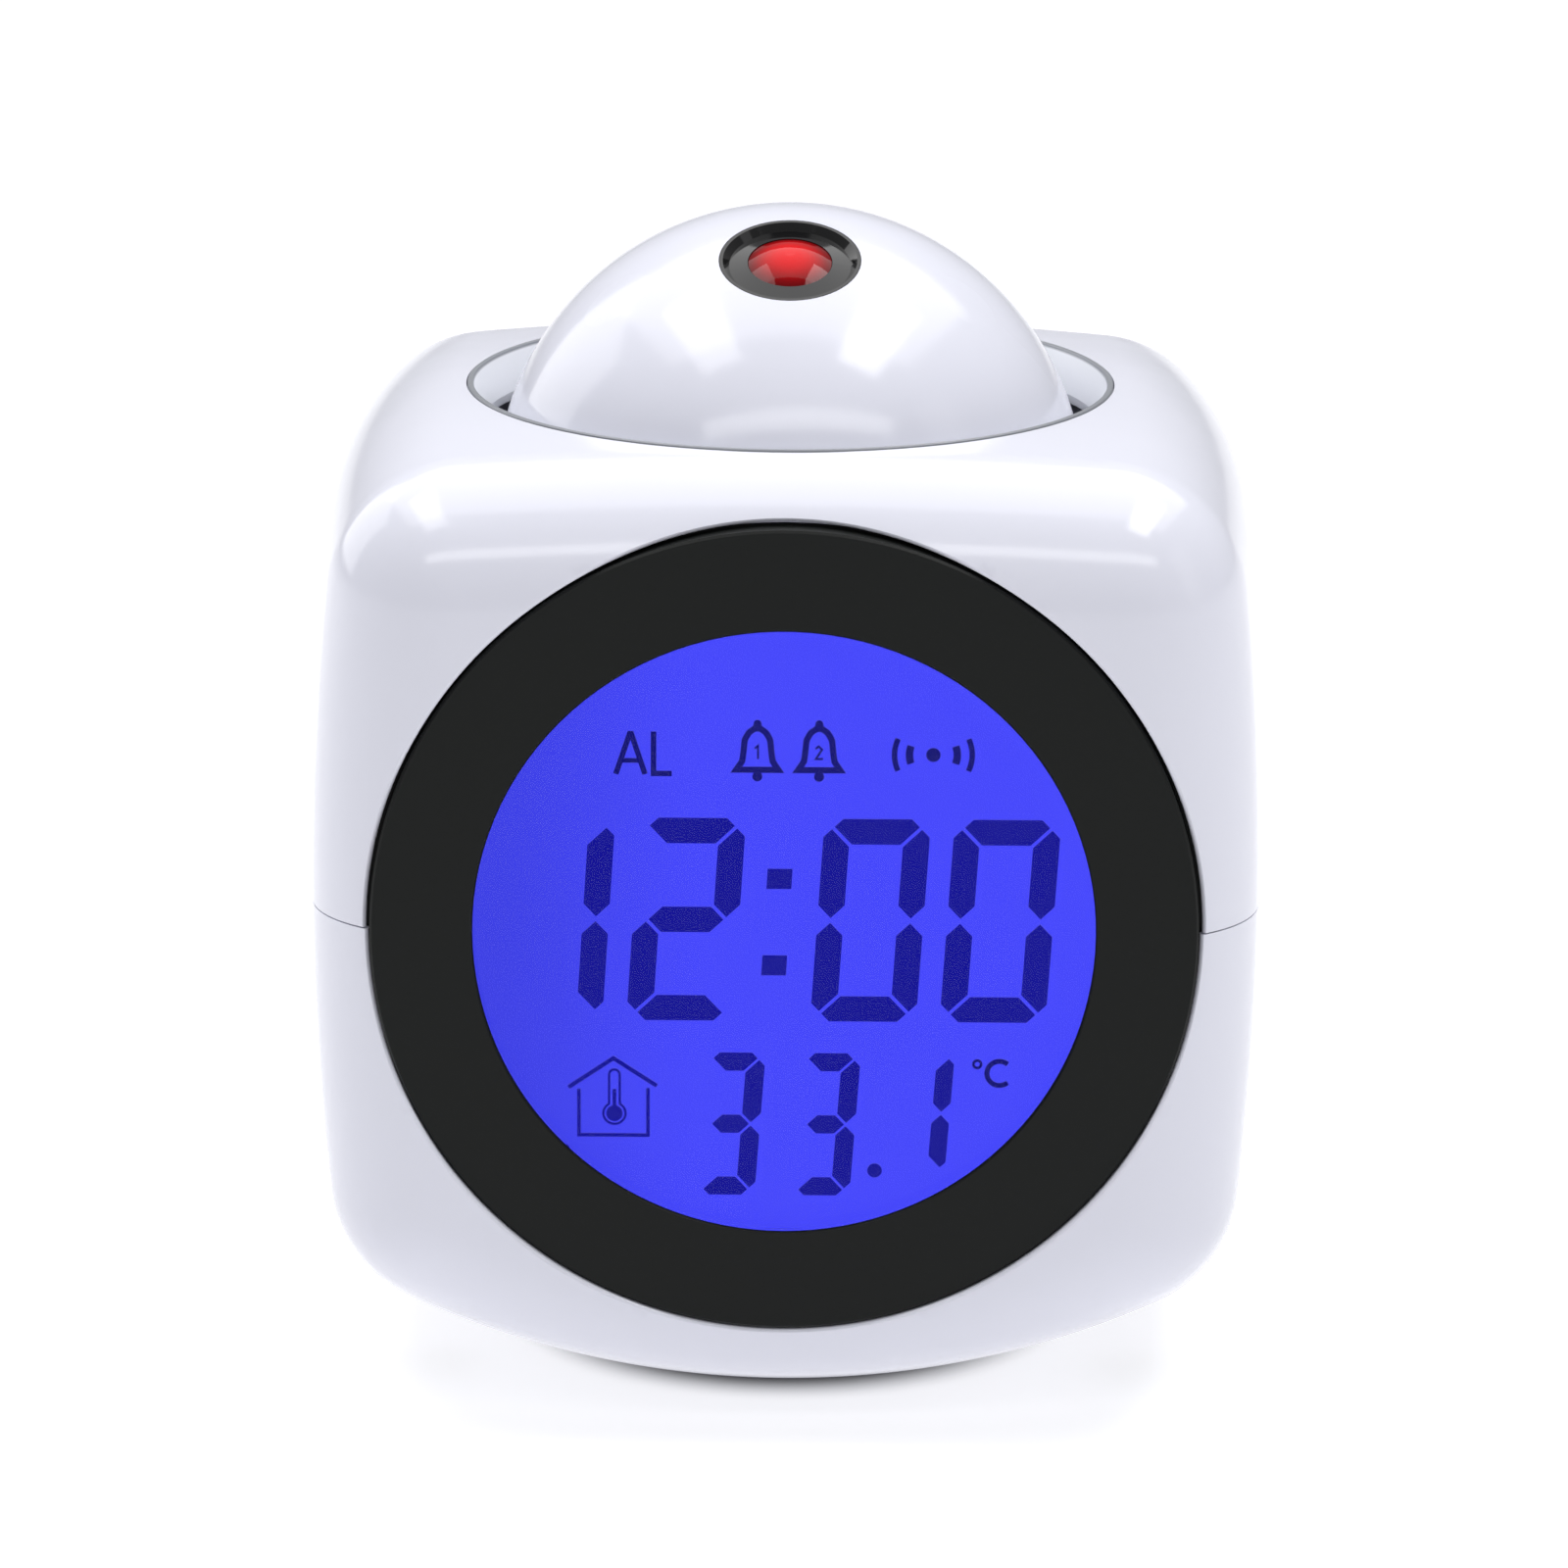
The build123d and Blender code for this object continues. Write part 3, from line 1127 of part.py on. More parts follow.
with BuildPart() as end_plates:
    with BuildSketch(Plane.YZ.offset(bay_half_w - CONTACT_THICK)):
        with Locations((cell_y, cell_spots[2])):
            Rectangle(CONTACT_SIZE, CONTACT_SIZE)
    extrude(amount=CONTACT_THICK)
    with BuildSketch(Plane.YZ.offset(-bay_half_w)):
        with Locations((cell_y, cell_spots[0])):
            Rectangle(CONTACT_SIZE, CONTACT_SIZE)
    extrude(amount=CONTACT_THICK)
end_plates.part.label = "end_plates"
export_step(end_plates.part, "parts/end_plates.step")

# Three coil contacts, one behind each cell's flat end.
contact_wire_r = 0.3
contact_length = 2 * cell_shift - 0.05
with BuildPart() as contact_springs:
    for row, turn in ((0, 1), (1, -1), (2, 1)):
        with BuildLine():
            contact_coil = Helix(
                pitch=(contact_length - 2 * contact_wire_r) / 3,
                height=contact_length - 2 * contact_wire_r,
                radius=2.6,
                center=(-turn * (bay_half_w - CONTACT_THICK - contact_wire_r), cell_y, cell_spots[row]),
                direction=(turn, 0, 0),
            )
        with BuildSketch(Plane(origin=contact_coil @ 0, z_dir=contact_coil % 0)):
            Circle(contact_wire_r)
        sweep(path=contact_coil, is_frenet=True)
contact_springs.part.label = "contact_springs"
export_step(contact_springs.part, "parts/contact_springs.step")

# ================================================================ the speaker
speaker_back = 8.8
magnet_r = 7.0
magnet_h = 3.0
coil_r = 4.4
skin = 0.8

with BuildPart() as speaker_frame:
    with BuildSketch(Plane.XZ):
        with BuildLine():
            Polyline(
                (SPEAKER_R - 1.2, floor_top),
                (SPEAKER_R, floor_top),
                (SPEAKER_R, floor_top + 1.7),
                (magnet_r + 1.6, speaker_back - 1),
                (magnet_r + 1.6, speaker_back),
                (0, speaker_back),
                (0, speaker_back - skin),
                (magnet_r + 0.8, speaker_back - skin),
                (magnet_r + 0.8, speaker_back - 1 - skin / 2),
                (SPEAKER_R - 1.2, floor_top + 1.3),
                close=True,
            )
        make_face()
    revolve(axis=Axis.Z)
speaker_frame.part.label = "speaker_frame"
export_step(speaker_frame.part, "parts/speaker_frame.step")

with BuildPart() as speaker_cone:
    with BuildSketch(Plane.XZ):
        with BuildLine():
            Polyline(
                (0, floor_top + 2),
                (coil_r, floor_top + 3.6),
                (SPEAKER_R - 1.25, floor_top + 0.6),
                (SPEAKER_R - 1.25, floor_top + 1),
                (coil_r, floor_top + 4.1),
                (coil_r, speaker_back - skin - 0.3),
                (coil_r - 0.4, speaker_back - skin - 0.3),
                (coil_r - 0.4, floor_top + 3.9),
                (0, floor_top + 2.4),
                close=True,
            )
        make_face()
    revolve(axis=Axis.Z)
speaker_cone.part.label = "speaker_cone"
export_step(speaker_cone.part, "parts/speaker_cone.step")

with BuildPart() as speaker_magnet:
    with BuildSketch(Plane.XY.offset(speaker_back)):
        Circle(magnet_r)
    extrude(amount=magnet_h)
    chamfer(speaker_magnet.faces().sort_by(Axis.Z)[-1].edges(), length=0.4)
speaker_magnet.part.label = "speaker_magnet"
export_step(speaker_magnet.part, "parts/speaker_magnet.step")
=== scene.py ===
# %% [markdown]
# # A projection alarm clock
#
# The clock is a puffed cube of glossy white plastic with a round blue display in front and a ball
# with a projector on top.  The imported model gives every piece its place, and this lesson gives the
# pieces their surfaces.  Lengths are in metres, +Z is up, and the display faces -Y.

# %% Load the frame
import json
import math

import bpy
import bmesh
import numpy as np
from mathutils import Matrix, Vector


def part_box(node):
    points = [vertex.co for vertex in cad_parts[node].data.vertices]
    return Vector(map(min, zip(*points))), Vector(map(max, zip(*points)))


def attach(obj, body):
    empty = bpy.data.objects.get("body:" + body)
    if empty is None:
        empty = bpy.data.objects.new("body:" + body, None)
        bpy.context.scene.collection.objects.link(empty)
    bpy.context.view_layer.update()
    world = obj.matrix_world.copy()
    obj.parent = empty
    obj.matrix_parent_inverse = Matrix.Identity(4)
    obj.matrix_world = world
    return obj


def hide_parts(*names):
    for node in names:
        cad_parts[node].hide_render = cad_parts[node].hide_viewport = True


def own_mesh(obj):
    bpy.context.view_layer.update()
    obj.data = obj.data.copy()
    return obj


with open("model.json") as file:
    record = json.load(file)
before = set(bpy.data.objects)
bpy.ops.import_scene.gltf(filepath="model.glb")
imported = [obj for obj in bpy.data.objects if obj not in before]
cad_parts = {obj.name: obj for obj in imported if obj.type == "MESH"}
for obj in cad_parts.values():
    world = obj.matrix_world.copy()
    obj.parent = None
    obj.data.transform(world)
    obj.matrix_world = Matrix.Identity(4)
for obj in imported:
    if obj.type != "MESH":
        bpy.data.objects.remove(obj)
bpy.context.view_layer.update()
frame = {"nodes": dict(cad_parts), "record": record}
nodes = frame["nodes"]
scene = bpy.context.scene
scene.view_settings.view_transform = "Standard"
MM = 0.001

# %% [markdown]
# ## The camera
#
# A long lens far away keeps the cube's sides nearly parallel, as a product picture does.  The camera
# looks at the middle of the clock at the height of the joint between the shells, from 15 degrees up.

# %% Camera
SEAM_GAP = 0.12 * MM
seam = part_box("lower_case")[1].z + SEAM_GAP / 2
CAMERA_DISTANCE = 0.7
CAMERA_UP = math.radians(15.34)
CAMERA_SIDE = math.radians(0.5)
CAMERA_ROLL = math.radians(0.28)
FOCAL_PIXELS = 8022
FRAME_PIXELS = 1600
MIDDLE_PIXEL = (804.4, 834.5)      # where the middle of the clock lies in the frame

back = Vector((
    math.sin(CAMERA_SIDE) * math.cos(CAMERA_UP),
    -math.cos(CAMERA_SIDE) * math.cos(CAMERA_UP),
    math.sin(CAMERA_UP),
))
camera = bpy.data.objects.new("camera", bpy.data.cameras.new("camera"))
scene.collection.objects.link(camera)
camera.rotation_mode = "QUATERNION"
camera.location = Vector((0, 0, seam)) + back * CAMERA_DISTANCE
roll = Matrix.Rotation(CAMERA_ROLL, 4, "Z").to_quaternion()
camera.rotation_quaternion = (-back).to_track_quat("-Z", "Y") @ roll
camera.data.sensor_width = 36
camera.data.lens = 36 * FOCAL_PIXELS / FRAME_PIXELS
camera.data.shift_x = (FRAME_PIXELS / 2 - MIDDLE_PIXEL[0]) / FRAME_PIXELS
camera.data.shift_y = (MIDDLE_PIXEL[1] - FRAME_PIXELS / 2) / FRAME_PIXELS
camera.data.clip_start = 0.05
scene.camera = camera
print("lens mm:", round(camera.data.lens, 1))

# %% [markdown]
# ## Helpers
#
# Materials and Geometry Nodes are both trees of nodes.  One helper adds a node and joins its inputs, so
# that each line below reads as one step of the tree.  Two more make an object from points and faces,
# and turn its faces outward.

# %% Helpers for nodes, colours and meshes
def add(tree, kind, inputs=None, **settings):
    """Adds a node; inputs maps a socket's name or number to a value or to another node's socket."""
    made = tree.nodes.new(kind)
    for name, value in settings.items():
        setattr(made, name, value)
    for name, value in (inputs or {}).items():
        if isinstance(value, bpy.types.NodeSocket):
            tree.links.new(value, made.inputs[name])
        else:
            made.inputs[name].default_value = value
    return made


def linear(hex_colour):
    """A colour written as sRGB hex, as linear red, green, blue and alpha."""
    parts = [int(hex_colour[i:i + 2], 16) / 255 for i in (1, 3, 5)]
    return [p / 12.92 if p <= 0.04045 else ((p + 0.055) / 1.055) ** 2.4 for p in parts] + [1.0]


def mesh_object(name, vertices, faces, edges=()):
    """A new object with a mesh of the given points and faces."""
    mesh = bpy.data.meshes.new(name)
    mesh.from_pydata([tuple(vertex) for vertex in vertices], list(edges), list(faces))
    made = bpy.data.objects.new(name, mesh)
    scene.collection.objects.link(made)
    return made


def face_outward(target, merge=False):
    """Turns every face of a closed mesh outward; merge first joins points that coincide."""
    work = bmesh.new()
    work.from_mesh(target.data)
    if merge:
        bmesh.ops.remove_doubles(work, verts=work.verts, dist=1e-7)
    bmesh.ops.recalc_face_normals(work, faces=work.faces)
    work.to_mesh(target.data)
    work.free()


def new_material(name, colour, roughness, **shader):
    """A material with its Principled shader set; returns the material, its tree and the shader."""
    material = bpy.data.materials.new(name)
    material.use_nodes = True
    tree = material.node_tree
    principled = tree.nodes["Principled BSDF"]
    principled.inputs["Base Color"].default_value = linear(colour)
    principled.inputs["Roughness"].default_value = roughness
    for socket, value in shader.items():
        principled.inputs[socket.replace("_", " ")].default_value = value
    return material, tree, principled


def grained(name, colour, roughness, size, height, spread=None, **shader):
    """A material with fine unevenness: size is the width of a bump and height its depth, in metres.
    The same noise moves the roughness within the spread, as handling and moulding do."""
    material, tree, principled = new_material(name, colour, roughness, **shader)
    place = add(tree, "ShaderNodeTexCoord")
    noise = add(
        tree, "ShaderNodeTexNoise", {"Vector": place.outputs["Object"], "Scale": 1 / size, "Detail": 2.0},
    )
    bump = add(
        tree, "ShaderNodeBump", {"Height": noise.outputs["Fac"], "Distance": height, "Strength": 1.0},
    )
    tree.links.new(bump.outputs["Normal"], principled.inputs["Normal"])
    if spread:
        rough = add(
            tree, "ShaderNodeMapRange",
            {"Value": noise.outputs["Fac"], "To Min": spread[0], "To Max": spread[1]},
        )
        tree.links.new(rough.outputs["Result"], principled.inputs["Roughness"])
    return material, tree, principled


# %% [markdown]
# ## Materials
#
# The case and the ball are ABS from a polished mould: the surface is glossy, with the very shallow
# waves that cooling leaves in it, so that reflections wobble a little.  Most of the other materials are
# made the same way: a colour, a roughness and a fine grain, in the object's own coordinates.

# %% Plastics, metals and rubber
def polished_white_abs():
    """ABS from a polished mould: sharp reflections with a slight wobble."""
    return grained(
        "polished_white_abs", "#DCDDE8", 0.14, 6 * MM, 0.004 * MM, (0.10, 0.18), IOR=1.53,
    )[0]


def matt_abs(name, colour):
    """ABS from a spark-eroded mould: a fine even texture that scatters the light."""
    return grained(name, colour, 0.5, 0.35 * MM, 0.008 * MM, (0.42, 0.58), IOR=1.53)[0]


def satin_black_plastic():
    """The bezel: black ABS with a satin face that shows almost no reflection."""
    return grained(
        "satin_black_plastic", "#151716", 0.42, 0.4 * MM, 0.004 * MM, (0.38, 0.48),
        IOR=1.5, Specular_IOR_Level=0.15,
    )[0]


def silver_paint():
    """Light silver paint on the ring, fine flake under a satin lacquer; its rim is painted darker grey as
    painted shade of the gap beside the ball.
    """
    material, tree, principled = grained(
        "silver_paint", "#E6E8EC", 0.34, 0.25 * MM, 0.003 * MM, (0.26, 0.40), Metallic=0.05, IOR=1.5,
    )
    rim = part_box("dome_ring")[1].z
    place = add(tree, "ShaderNodeTexCoord")
    split = add(tree, "ShaderNodeSeparateXYZ", {"Vector": place.outputs["Object"]})
    height = add(
        tree, "ShaderNodeMapRange",
        {"Value": split.outputs["Z"], "From Min": rim - 0.2 * MM, "From Max": rim},
    )
    # Painted shade: the top 0.2 mm of the rim turns darker grey, for the shaded gap between the ring and
    # the ball.
    tone = add(
        tree, "ShaderNodeMix",
        {"Factor": height.outputs["Result"], 6: linear("#E6E8EC"), 7: linear("#85888E")},
        data_type="RGBA",
    )
    tree.links.new(tone.outputs[2], principled.inputs["Base Color"])
    return material


def glossy_plastic(name, colour, roughness=0.15):
    """Small moulded or dipped pieces with a smooth skin."""
    return grained(name, colour, roughness, 1.5 * MM, 0.003 * MM, IOR=1.52)[0]


def clear_acrylic(name, colour="#FFFFFF", roughness=0.02, bend=1.49):
    """Polished acrylic: light goes through it and only the skin reflects."""
    return new_material(name, colour, roughness, IOR=bend, Transmission_Weight=1.0)[0]


def bare_metal(name, colour, roughness):
    """Drawn, pressed or plated metal with faint streaks."""
    spread = (roughness * 0.8, roughness * 1.25)
    return grained(name, colour, roughness, 0.6 * MM, 0.002 * MM, spread, Metallic=1.0)[0]


def red_acrylic():
    """Red lens with painted light and shade: painted bright in the middle for the lamp's light coming
    through, darker red towards the rim.
    """
    low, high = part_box("projection_lens")
    material, tree, principled = new_material(
        "red_acrylic", "#C8060C", 0.05, IOR=1.49, Specular_IOR_Level=0.2,
    )
    place = add(tree, "ShaderNodeTexCoord")
    apart = add(
        tree, "ShaderNodeVectorMath", {0: place.outputs["Object"], 1: (low + high) / 2},
        operation="DISTANCE",
    )
    edge = add(
        tree, "ShaderNodeMapRange",
        {"Value": apart.outputs["Value"], "From Min": 1.6 * MM, "From Max": 3.9 * MM},
        interpolation_type="SMOOTHSTEP",
    )
    # Painted light and painted shade: bright red in the middle, darker red towards the rim.
    tone = add(
        tree, "ShaderNodeMix",
        {"Factor": edge.outputs["Result"], 6: linear("#D4070F"), 7: linear("#5E0206")},
        data_type="RGBA",
    )
    tree.links.new(tone.outputs[2], principled.inputs["Base Color"])
    return material


CELL_REACH = 22 * MM           # half the cell's length
CELL_BANDS = (                 # share of the length where each band of the jacket starts
    (0.0, "#C6C8CC"), (0.02, "#39465E"), (0.70, "#D9DDE2"), (0.72, "#8FA3BF"), (0.975, "#C6C8CC"),
)
JACKET_MIDDLE, JACKET_HALF = 0.4975, 0.478     # shares of the length; the ends beyond are bare metal


def printed_cell(name, nub_side):
    """Printed steel jacket of a cell, plain, with a light band towards the nub and bare ends."""
    material, tree, principled = new_material(name, "#3F4652", 0.28, IOR=1.5)
    reach = CELL_REACH * nub_side
    place = add(tree, "ShaderNodeTexCoord")
    split = add(tree, "ShaderNodeSeparateXYZ", {"Vector": place.outputs["Object"]})
    along = add(
        tree, "ShaderNodeMapRange", {"Value": split.outputs["X"], "From Min": -reach, "From Max": reach},
    )
    bands = add(tree, "ShaderNodeValToRGB", {"Fac": along.outputs["Result"]})
    ramp = bands.color_ramp
    ramp.interpolation = "CONSTANT"
    for spot, _ in CELL_BANDS[1:]:
        ramp.elements.new(spot)
    in_order = sorted(ramp.elements, key=lambda element: element.position)
    for element, (_, colour) in zip(in_order, CELL_BANDS + CELL_BANDS[-1:]):
        element.color = linear(colour)
    tree.links.new(bands.outputs["Color"], principled.inputs["Base Color"])
    ends = add(
        tree, "ShaderNodeMath", {0: along.outputs["Result"], 1: JACKET_MIDDLE, 2: JACKET_HALF},
        operation="COMPARE",
    )
    bare = add(tree, "ShaderNodeMath", {0: 1.0, 1: ends.outputs["Value"]}, operation="SUBTRACT")
    tree.links.new(bare.outputs["Value"], principled.inputs["Metallic"])
    return material


def circuit_board():
    """Glass-epoxy board under green solder mask, with the weave just showing."""
    material, tree, principled = new_material("solder_mask", "#14512A", 0.35, IOR=1.55)
    place = add(tree, "ShaderNodeTexCoord")
    weave = add(tree, "ShaderNodeTexWave", {"Vector": place.outputs["Object"], "Scale": 1 / (2.4 * MM)})
    tone = add(
        tree, "ShaderNodeMix",
        {"Factor": weave.outputs["Fac"], 6: linear("#124A26"), 7: linear("#175A30")},
        data_type="RGBA",
    )
    tree.links.new(tone.outputs[2], principled.inputs["Base Color"])
    return material


def rubber(name, colour):
    """Moulded rubber: dull, with a fine bloom."""
    return grained(name, colour, 0.8, 0.5 * MM, 0.01 * MM, (0.7, 0.9), IOR=1.5)[0]


# %% [markdown]
# The display glows by itself.  Its blue light comes evenly through the glass, and a driven segment
# holds most of it back, so both are faint emitters with almost no reflection of their own.

# %% The display's materials
def lit_display():
    """The LCD with its blue light on: brightest in the middle, a little darker to the left."""
    material, tree, principled = new_material(
        "lit_display", "#05051C", 0.4, IOR=1.5, Specular_IOR_Level=0.02, Emission_Strength=1.0,
    )
    place = add(tree, "ShaderNodeTexCoord")
    split = add(tree, "ShaderNodeSeparateXYZ", {"Vector": place.outputs["Object"]})
    across = add(
        tree, "ShaderNodeMapRange",
        {"Value": split.outputs["X"], "From Min": -26 * MM, "From Max": -6 * MM},
        interpolation_type="SMOOTHSTEP",
    )
    tone = add(
        tree, "ShaderNodeMix",
        {"Factor": across.outputs["Result"], 6: linear("#3C3FE4"), 7: linear("#4446FA")},
        data_type="RGBA",
    )
    tree.links.new(tone.outputs[2], principled.inputs["Emission Color"])
    return material


def lcd_segment(name, colour):
    """A driven segment: it holds the light back, so only a dark blue comes through."""
    return new_material(
        name, "#03030C", 0.4, IOR=1.5, Specular_IOR_Level=0.02,
        Emission_Color=linear(colour), Emission_Strength=1.0,
    )[0]


# %% [markdown]
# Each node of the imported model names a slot, and each slot gets one of these finishes.  The middle
# cell lies the other way round, so its jacket is turned too.

# %% Every CAD node gets the finish of its slot
white = polished_white_abs()
FINISHES = {
    "white_gloss": white,
    "ring_silver": silver_paint(),
    "bezel_black": satin_black_plastic(),
    "clear_window": clear_acrylic("coated_clear_window", bend=1.12),
    "lcd_glass": lit_display(),
    "guide_acrylic": clear_acrylic("light_guide_acrylic", "#C8CCFF"),
    "lamp_blue": glossy_plastic("blue_epoxy", "#3A45FF"),
    "frame_white": matt_abs("matt_white_abs", "#D6D7E0"),
    "inner_plastic": matt_abs("matt_grey_abs", "#A9ABAE"),
    "strip_rubber": rubber("contact_rubber", "#2A2A2B"),
    "foot_rubber": rubber("foot_rubber", "#232324"),
    "circuit_board": circuit_board(),
    "screw_steel": bare_metal("zinc_plated_steel", "#C9CACC", 0.35),
    "spring_steel": bare_metal("spring_steel", "#B9BABD", 0.3),
    "chip_resin": glossy_plastic("chip_resin", "#17171A", 0.25),
    "crystal_can": bare_metal("drawn_can", "#D3D4D6", 0.22),
    "capacitor_sleeve": glossy_plastic("capacitor_sleeve", "#1B2145", 0.3),
    "sensor_bead": glossy_plastic("sensor_bead", "#1A1A1C", 0.25),
    "barrel_black": glossy_plastic("gloss_black_abs", "#111112", 0.08),
    "red_lens": red_acrylic(),
    "film_glass": clear_acrylic("film_glass", "#8A8A90"),
    "clear_lens": clear_acrylic("condenser_acrylic"),
    "lamp_red": glossy_plastic("red_epoxy", "#C01015"),
    "switch_black": matt_abs("switch_black", "#1C1C1E"),
    "contact_nickel": bare_metal("nickel_plate", "#CFCBC2", 0.18),
    "cell_jacket": printed_cell("printed_jacket", 1),
    "speaker_steel": glossy_plastic("speaker_paint", "#1E1E20", 0.35),
    "cone_film": glossy_plastic("cone_film", "#8C8C92", 0.25),
    "ferrite": rubber("sintered_ferrite", "#38383B"),
}
for part in frame["record"]["subparts"]:
    cad = nodes[part["node"]]
    cad.data.materials.clear()
    cad.data.materials.append(FINISHES[part["material_slot"]])
turned_cell = nodes["cell_middle"].data.materials
turned_cell.clear()
turned_cell.append(printed_cell("printed_jacket_turned", -1))
print("finishes:", len(FINISHES))

# %% [markdown]
# ## The rule of the case
#
# Each of the six faces of the case is part of a large sphere, and a rounded edge joins them.  That is
# the same as a smaller body with sharp edges, the part common to six spheres, with a skin of the
# edge's radius laid all round it.  The nearest point on the smaller body is on a sphere, on the circle
# where two spheres meet, or on the point where three meet.

# %% Six spheres
EDGE_RADIUS = 12 * MM
WALL = 2 * MM
SIDE_RADIUS = 255 * MM
FRONT_RADIUS = 420 * MM
TOP_RADIUS = 340 * MM
BOTTOM_RADIUS = 80.3 * MM
SIDE_CROWN = 42 * MM
FRONT_CROWN = 39.5 * MM
BACK_CROWN = 37.36 * MM
TOP_CROWN = 40.9 * MM
BOTTOM_CROWN = 47.9 * MM
CENTRE = np.array([0.0, 0.0, seam])
INSIDE_CORNER = 28 * MM        # first guess for a corner of the smaller body, on each axis
NEWTON_STEPS = 8
RAY_STEPS = 9
LEAST_SLOPE = 0.05             # keeps a ray's step short where it grazes the surface


def sphere_behind(axis, sign, crown, radius):
    """Centre and shrunken radius of the sphere of one face."""
    centre = CENTRE.copy()
    centre[axis] += sign * (crown - radius)
    return centre, radius - EDGE_RADIUS


FACES = {
    (axis, sign): sphere_behind(axis, sign, crown, radius)
    for axis, sign, crown, radius in (
        (0, 1, SIDE_CROWN, SIDE_RADIUS), (0, -1, SIDE_CROWN, SIDE_RADIUS),
        (1, -1, FRONT_CROWN, FRONT_RADIUS), (1, 1, BACK_CROWN, FRONT_RADIUS),
        (2, 1, TOP_CROWN, TOP_RADIUS), (2, -1, BOTTOM_CROWN, BOTTOM_RADIUS),
    )
}


def spheres_near(points):
    """For each point, the three spheres of the faces on its side, one for each axis."""
    centres = np.zeros((3, len(points), 3))
    radii = np.zeros((3, len(points)))
    for axis in range(3):
        positive = points[:, axis] >= CENTRE[axis]
        for sign, chosen in ((1, positive), (-1, ~positive)):
            centre, radius = FACES[(axis, sign)]
            centres[axis][chosen] = centre
            radii[axis][chosen] = radius
    return centres, radii


def nearest_on_rim(points, centre_a, radius_a, centre_b, radius_b):
    """Nearest point to each point on the circle where two spheres meet."""
    between = centre_b - centre_a
    apart = np.linalg.norm(between, axis=1)
    along = between / apart[:, None]
    reach = (apart**2 + radius_a**2 - radius_b**2) / (2 * apart)
    rim = np.sqrt(np.maximum(radius_a**2 - reach**2, 0))
    hub = centre_a + along * reach[:, None]
    off = points - hub
    off -= along * np.sum(off * along, axis=1)[:, None]
    return hub + off * (rim / np.linalg.norm(off, axis=1))[:, None]


def nearest_corner(centres, radii):
    """The point where the three spheres of each column meet, by Newton's method."""
    corner = np.zeros_like(centres[0])
    for axis in range(3):
        towards = np.sign(CENTRE[axis] - centres[axis][:, axis])
        corner[:, axis] = CENTRE[axis] + towards * INSIDE_CORNER
    for _ in range(NEWTON_STEPS):
        off = corner[None] - centres
        miss = np.sum(off * off, axis=2) - radii**2
        step = np.linalg.solve(np.transpose(2 * off, (1, 0, 2)), -miss.T[:, :, None])
        corner = corner + step[:, :, 0]
    return corner


def skin(points):
    """Distance of each point from the case's surface, and the outward direction there."""
    centres, radii = spheres_near(points)
    candidates = []
    for a in range(3):
        off = points - centres[a]
        length = np.linalg.norm(off, axis=1)
        candidates.append(centres[a] + off * (radii[a] / length)[:, None])
    for a, b in ((0, 1), (0, 2), (1, 2)):
        candidates.append(nearest_on_rim(points, centres[a], radii[a], centres[b], radii[b]))
    candidates.append(nearest_corner(centres, radii))
    best = np.full(len(points), np.inf)
    normal = np.zeros_like(points)
    for point in candidates:
        inside = np.ones(len(points), bool)
        for a in range(3):
            inside &= np.linalg.norm(point - centres[a], axis=1) <= radii[a] + 1e-8
        off = points - point
        length = np.linalg.norm(off, axis=1)
        better = inside & (length < best)
        best[better] = length[better]
        normal[better] = off[better] / length[better][:, None]
    return best - EDGE_RADIUS, normal


def meet_case(starts, directions):
    """Where rays that start outside the inner body meet the case's surface, with the normals there."""
    travel = np.zeros(len(starts))
    for _ in range(RAY_STEPS):
        points = starts + directions * travel[:, None]
        gap, normal = skin(points)
        slope = np.sum(normal * directions, axis=1)
        travel -= gap / np.where(np.abs(slope) < LEAST_SLOPE, np.sign(slope) * LEAST_SLOPE, slope)
    return points, normal


top_middle = meet_case(np.array([[0, 0, 0.2]]), np.array([[0, 0, -1.0]]))[0][0]
print("crown of the top:", np.round(top_middle * 1000, 2))

# %% [markdown]
# ## The two shells
#
# A grid of rays from the middle of the case meets the rule's surface.  The rays fan out from the round
# display opening to the middle of the back, so the grid's first row is the opening's edge itself,
# and that edge can be rounded cleanly.  The grid's two long borders lie on the joint.

# %% Grid of one shell
ROWS = 130
COLUMNS = 180
LIP_RADIUS = 0.35 * MM
LIP_STEPS = 5
FAN_START = 90 * MM            # the fanned rays start this far from the middle
STRAIGHT_START = 60 * MM       # and the parallel ones this far in front of the case or below it
LAST_RAY = 0.999               # of the way to the back's middle, so that no face closes to a line
INNER_START = 4                # the inner skin stops short of this row and meets the opening's wall
JOINT_OVERLAP = 0.2            # of half the gap: the inner skins pass the joint, so no light gets in
opening_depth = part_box("bezel")[0].y + 2.0 * MM
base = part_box("lower_case")[0].z     # the domed bottom is cut flat here


def skin_rows(ring, opening):
    """Rows of points on the outer surface from the opening to the back, with the normals there."""
    starts = ring * (opening + LIP_RADIUS) + np.array([0, -STRAIGHT_START, seam])
    edge, edge_normal = meet_case(starts, np.tile([0, 1.0, 0], (COLUMNS, 1)))
    from_middle = edge - CENTRE
    first = np.arctan2(opening + LIP_RADIUS, -from_middle[:, 1])
    rows = [edge]
    normals = [edge_normal]
    for step in range(1, ROWS + 1):
        angle = first + (math.pi - first) * (step / ROWS) * LAST_RAY
        aim = ring * np.sin(angle)[:, None] + np.array([0, -1.0, 0]) * np.cos(angle)[:, None]
        points, normal = meet_case(aim * FAN_START + CENTRE, -aim)
        rows.append(points)
        normals.append(normal)
    return np.array(rows), np.array(normals)


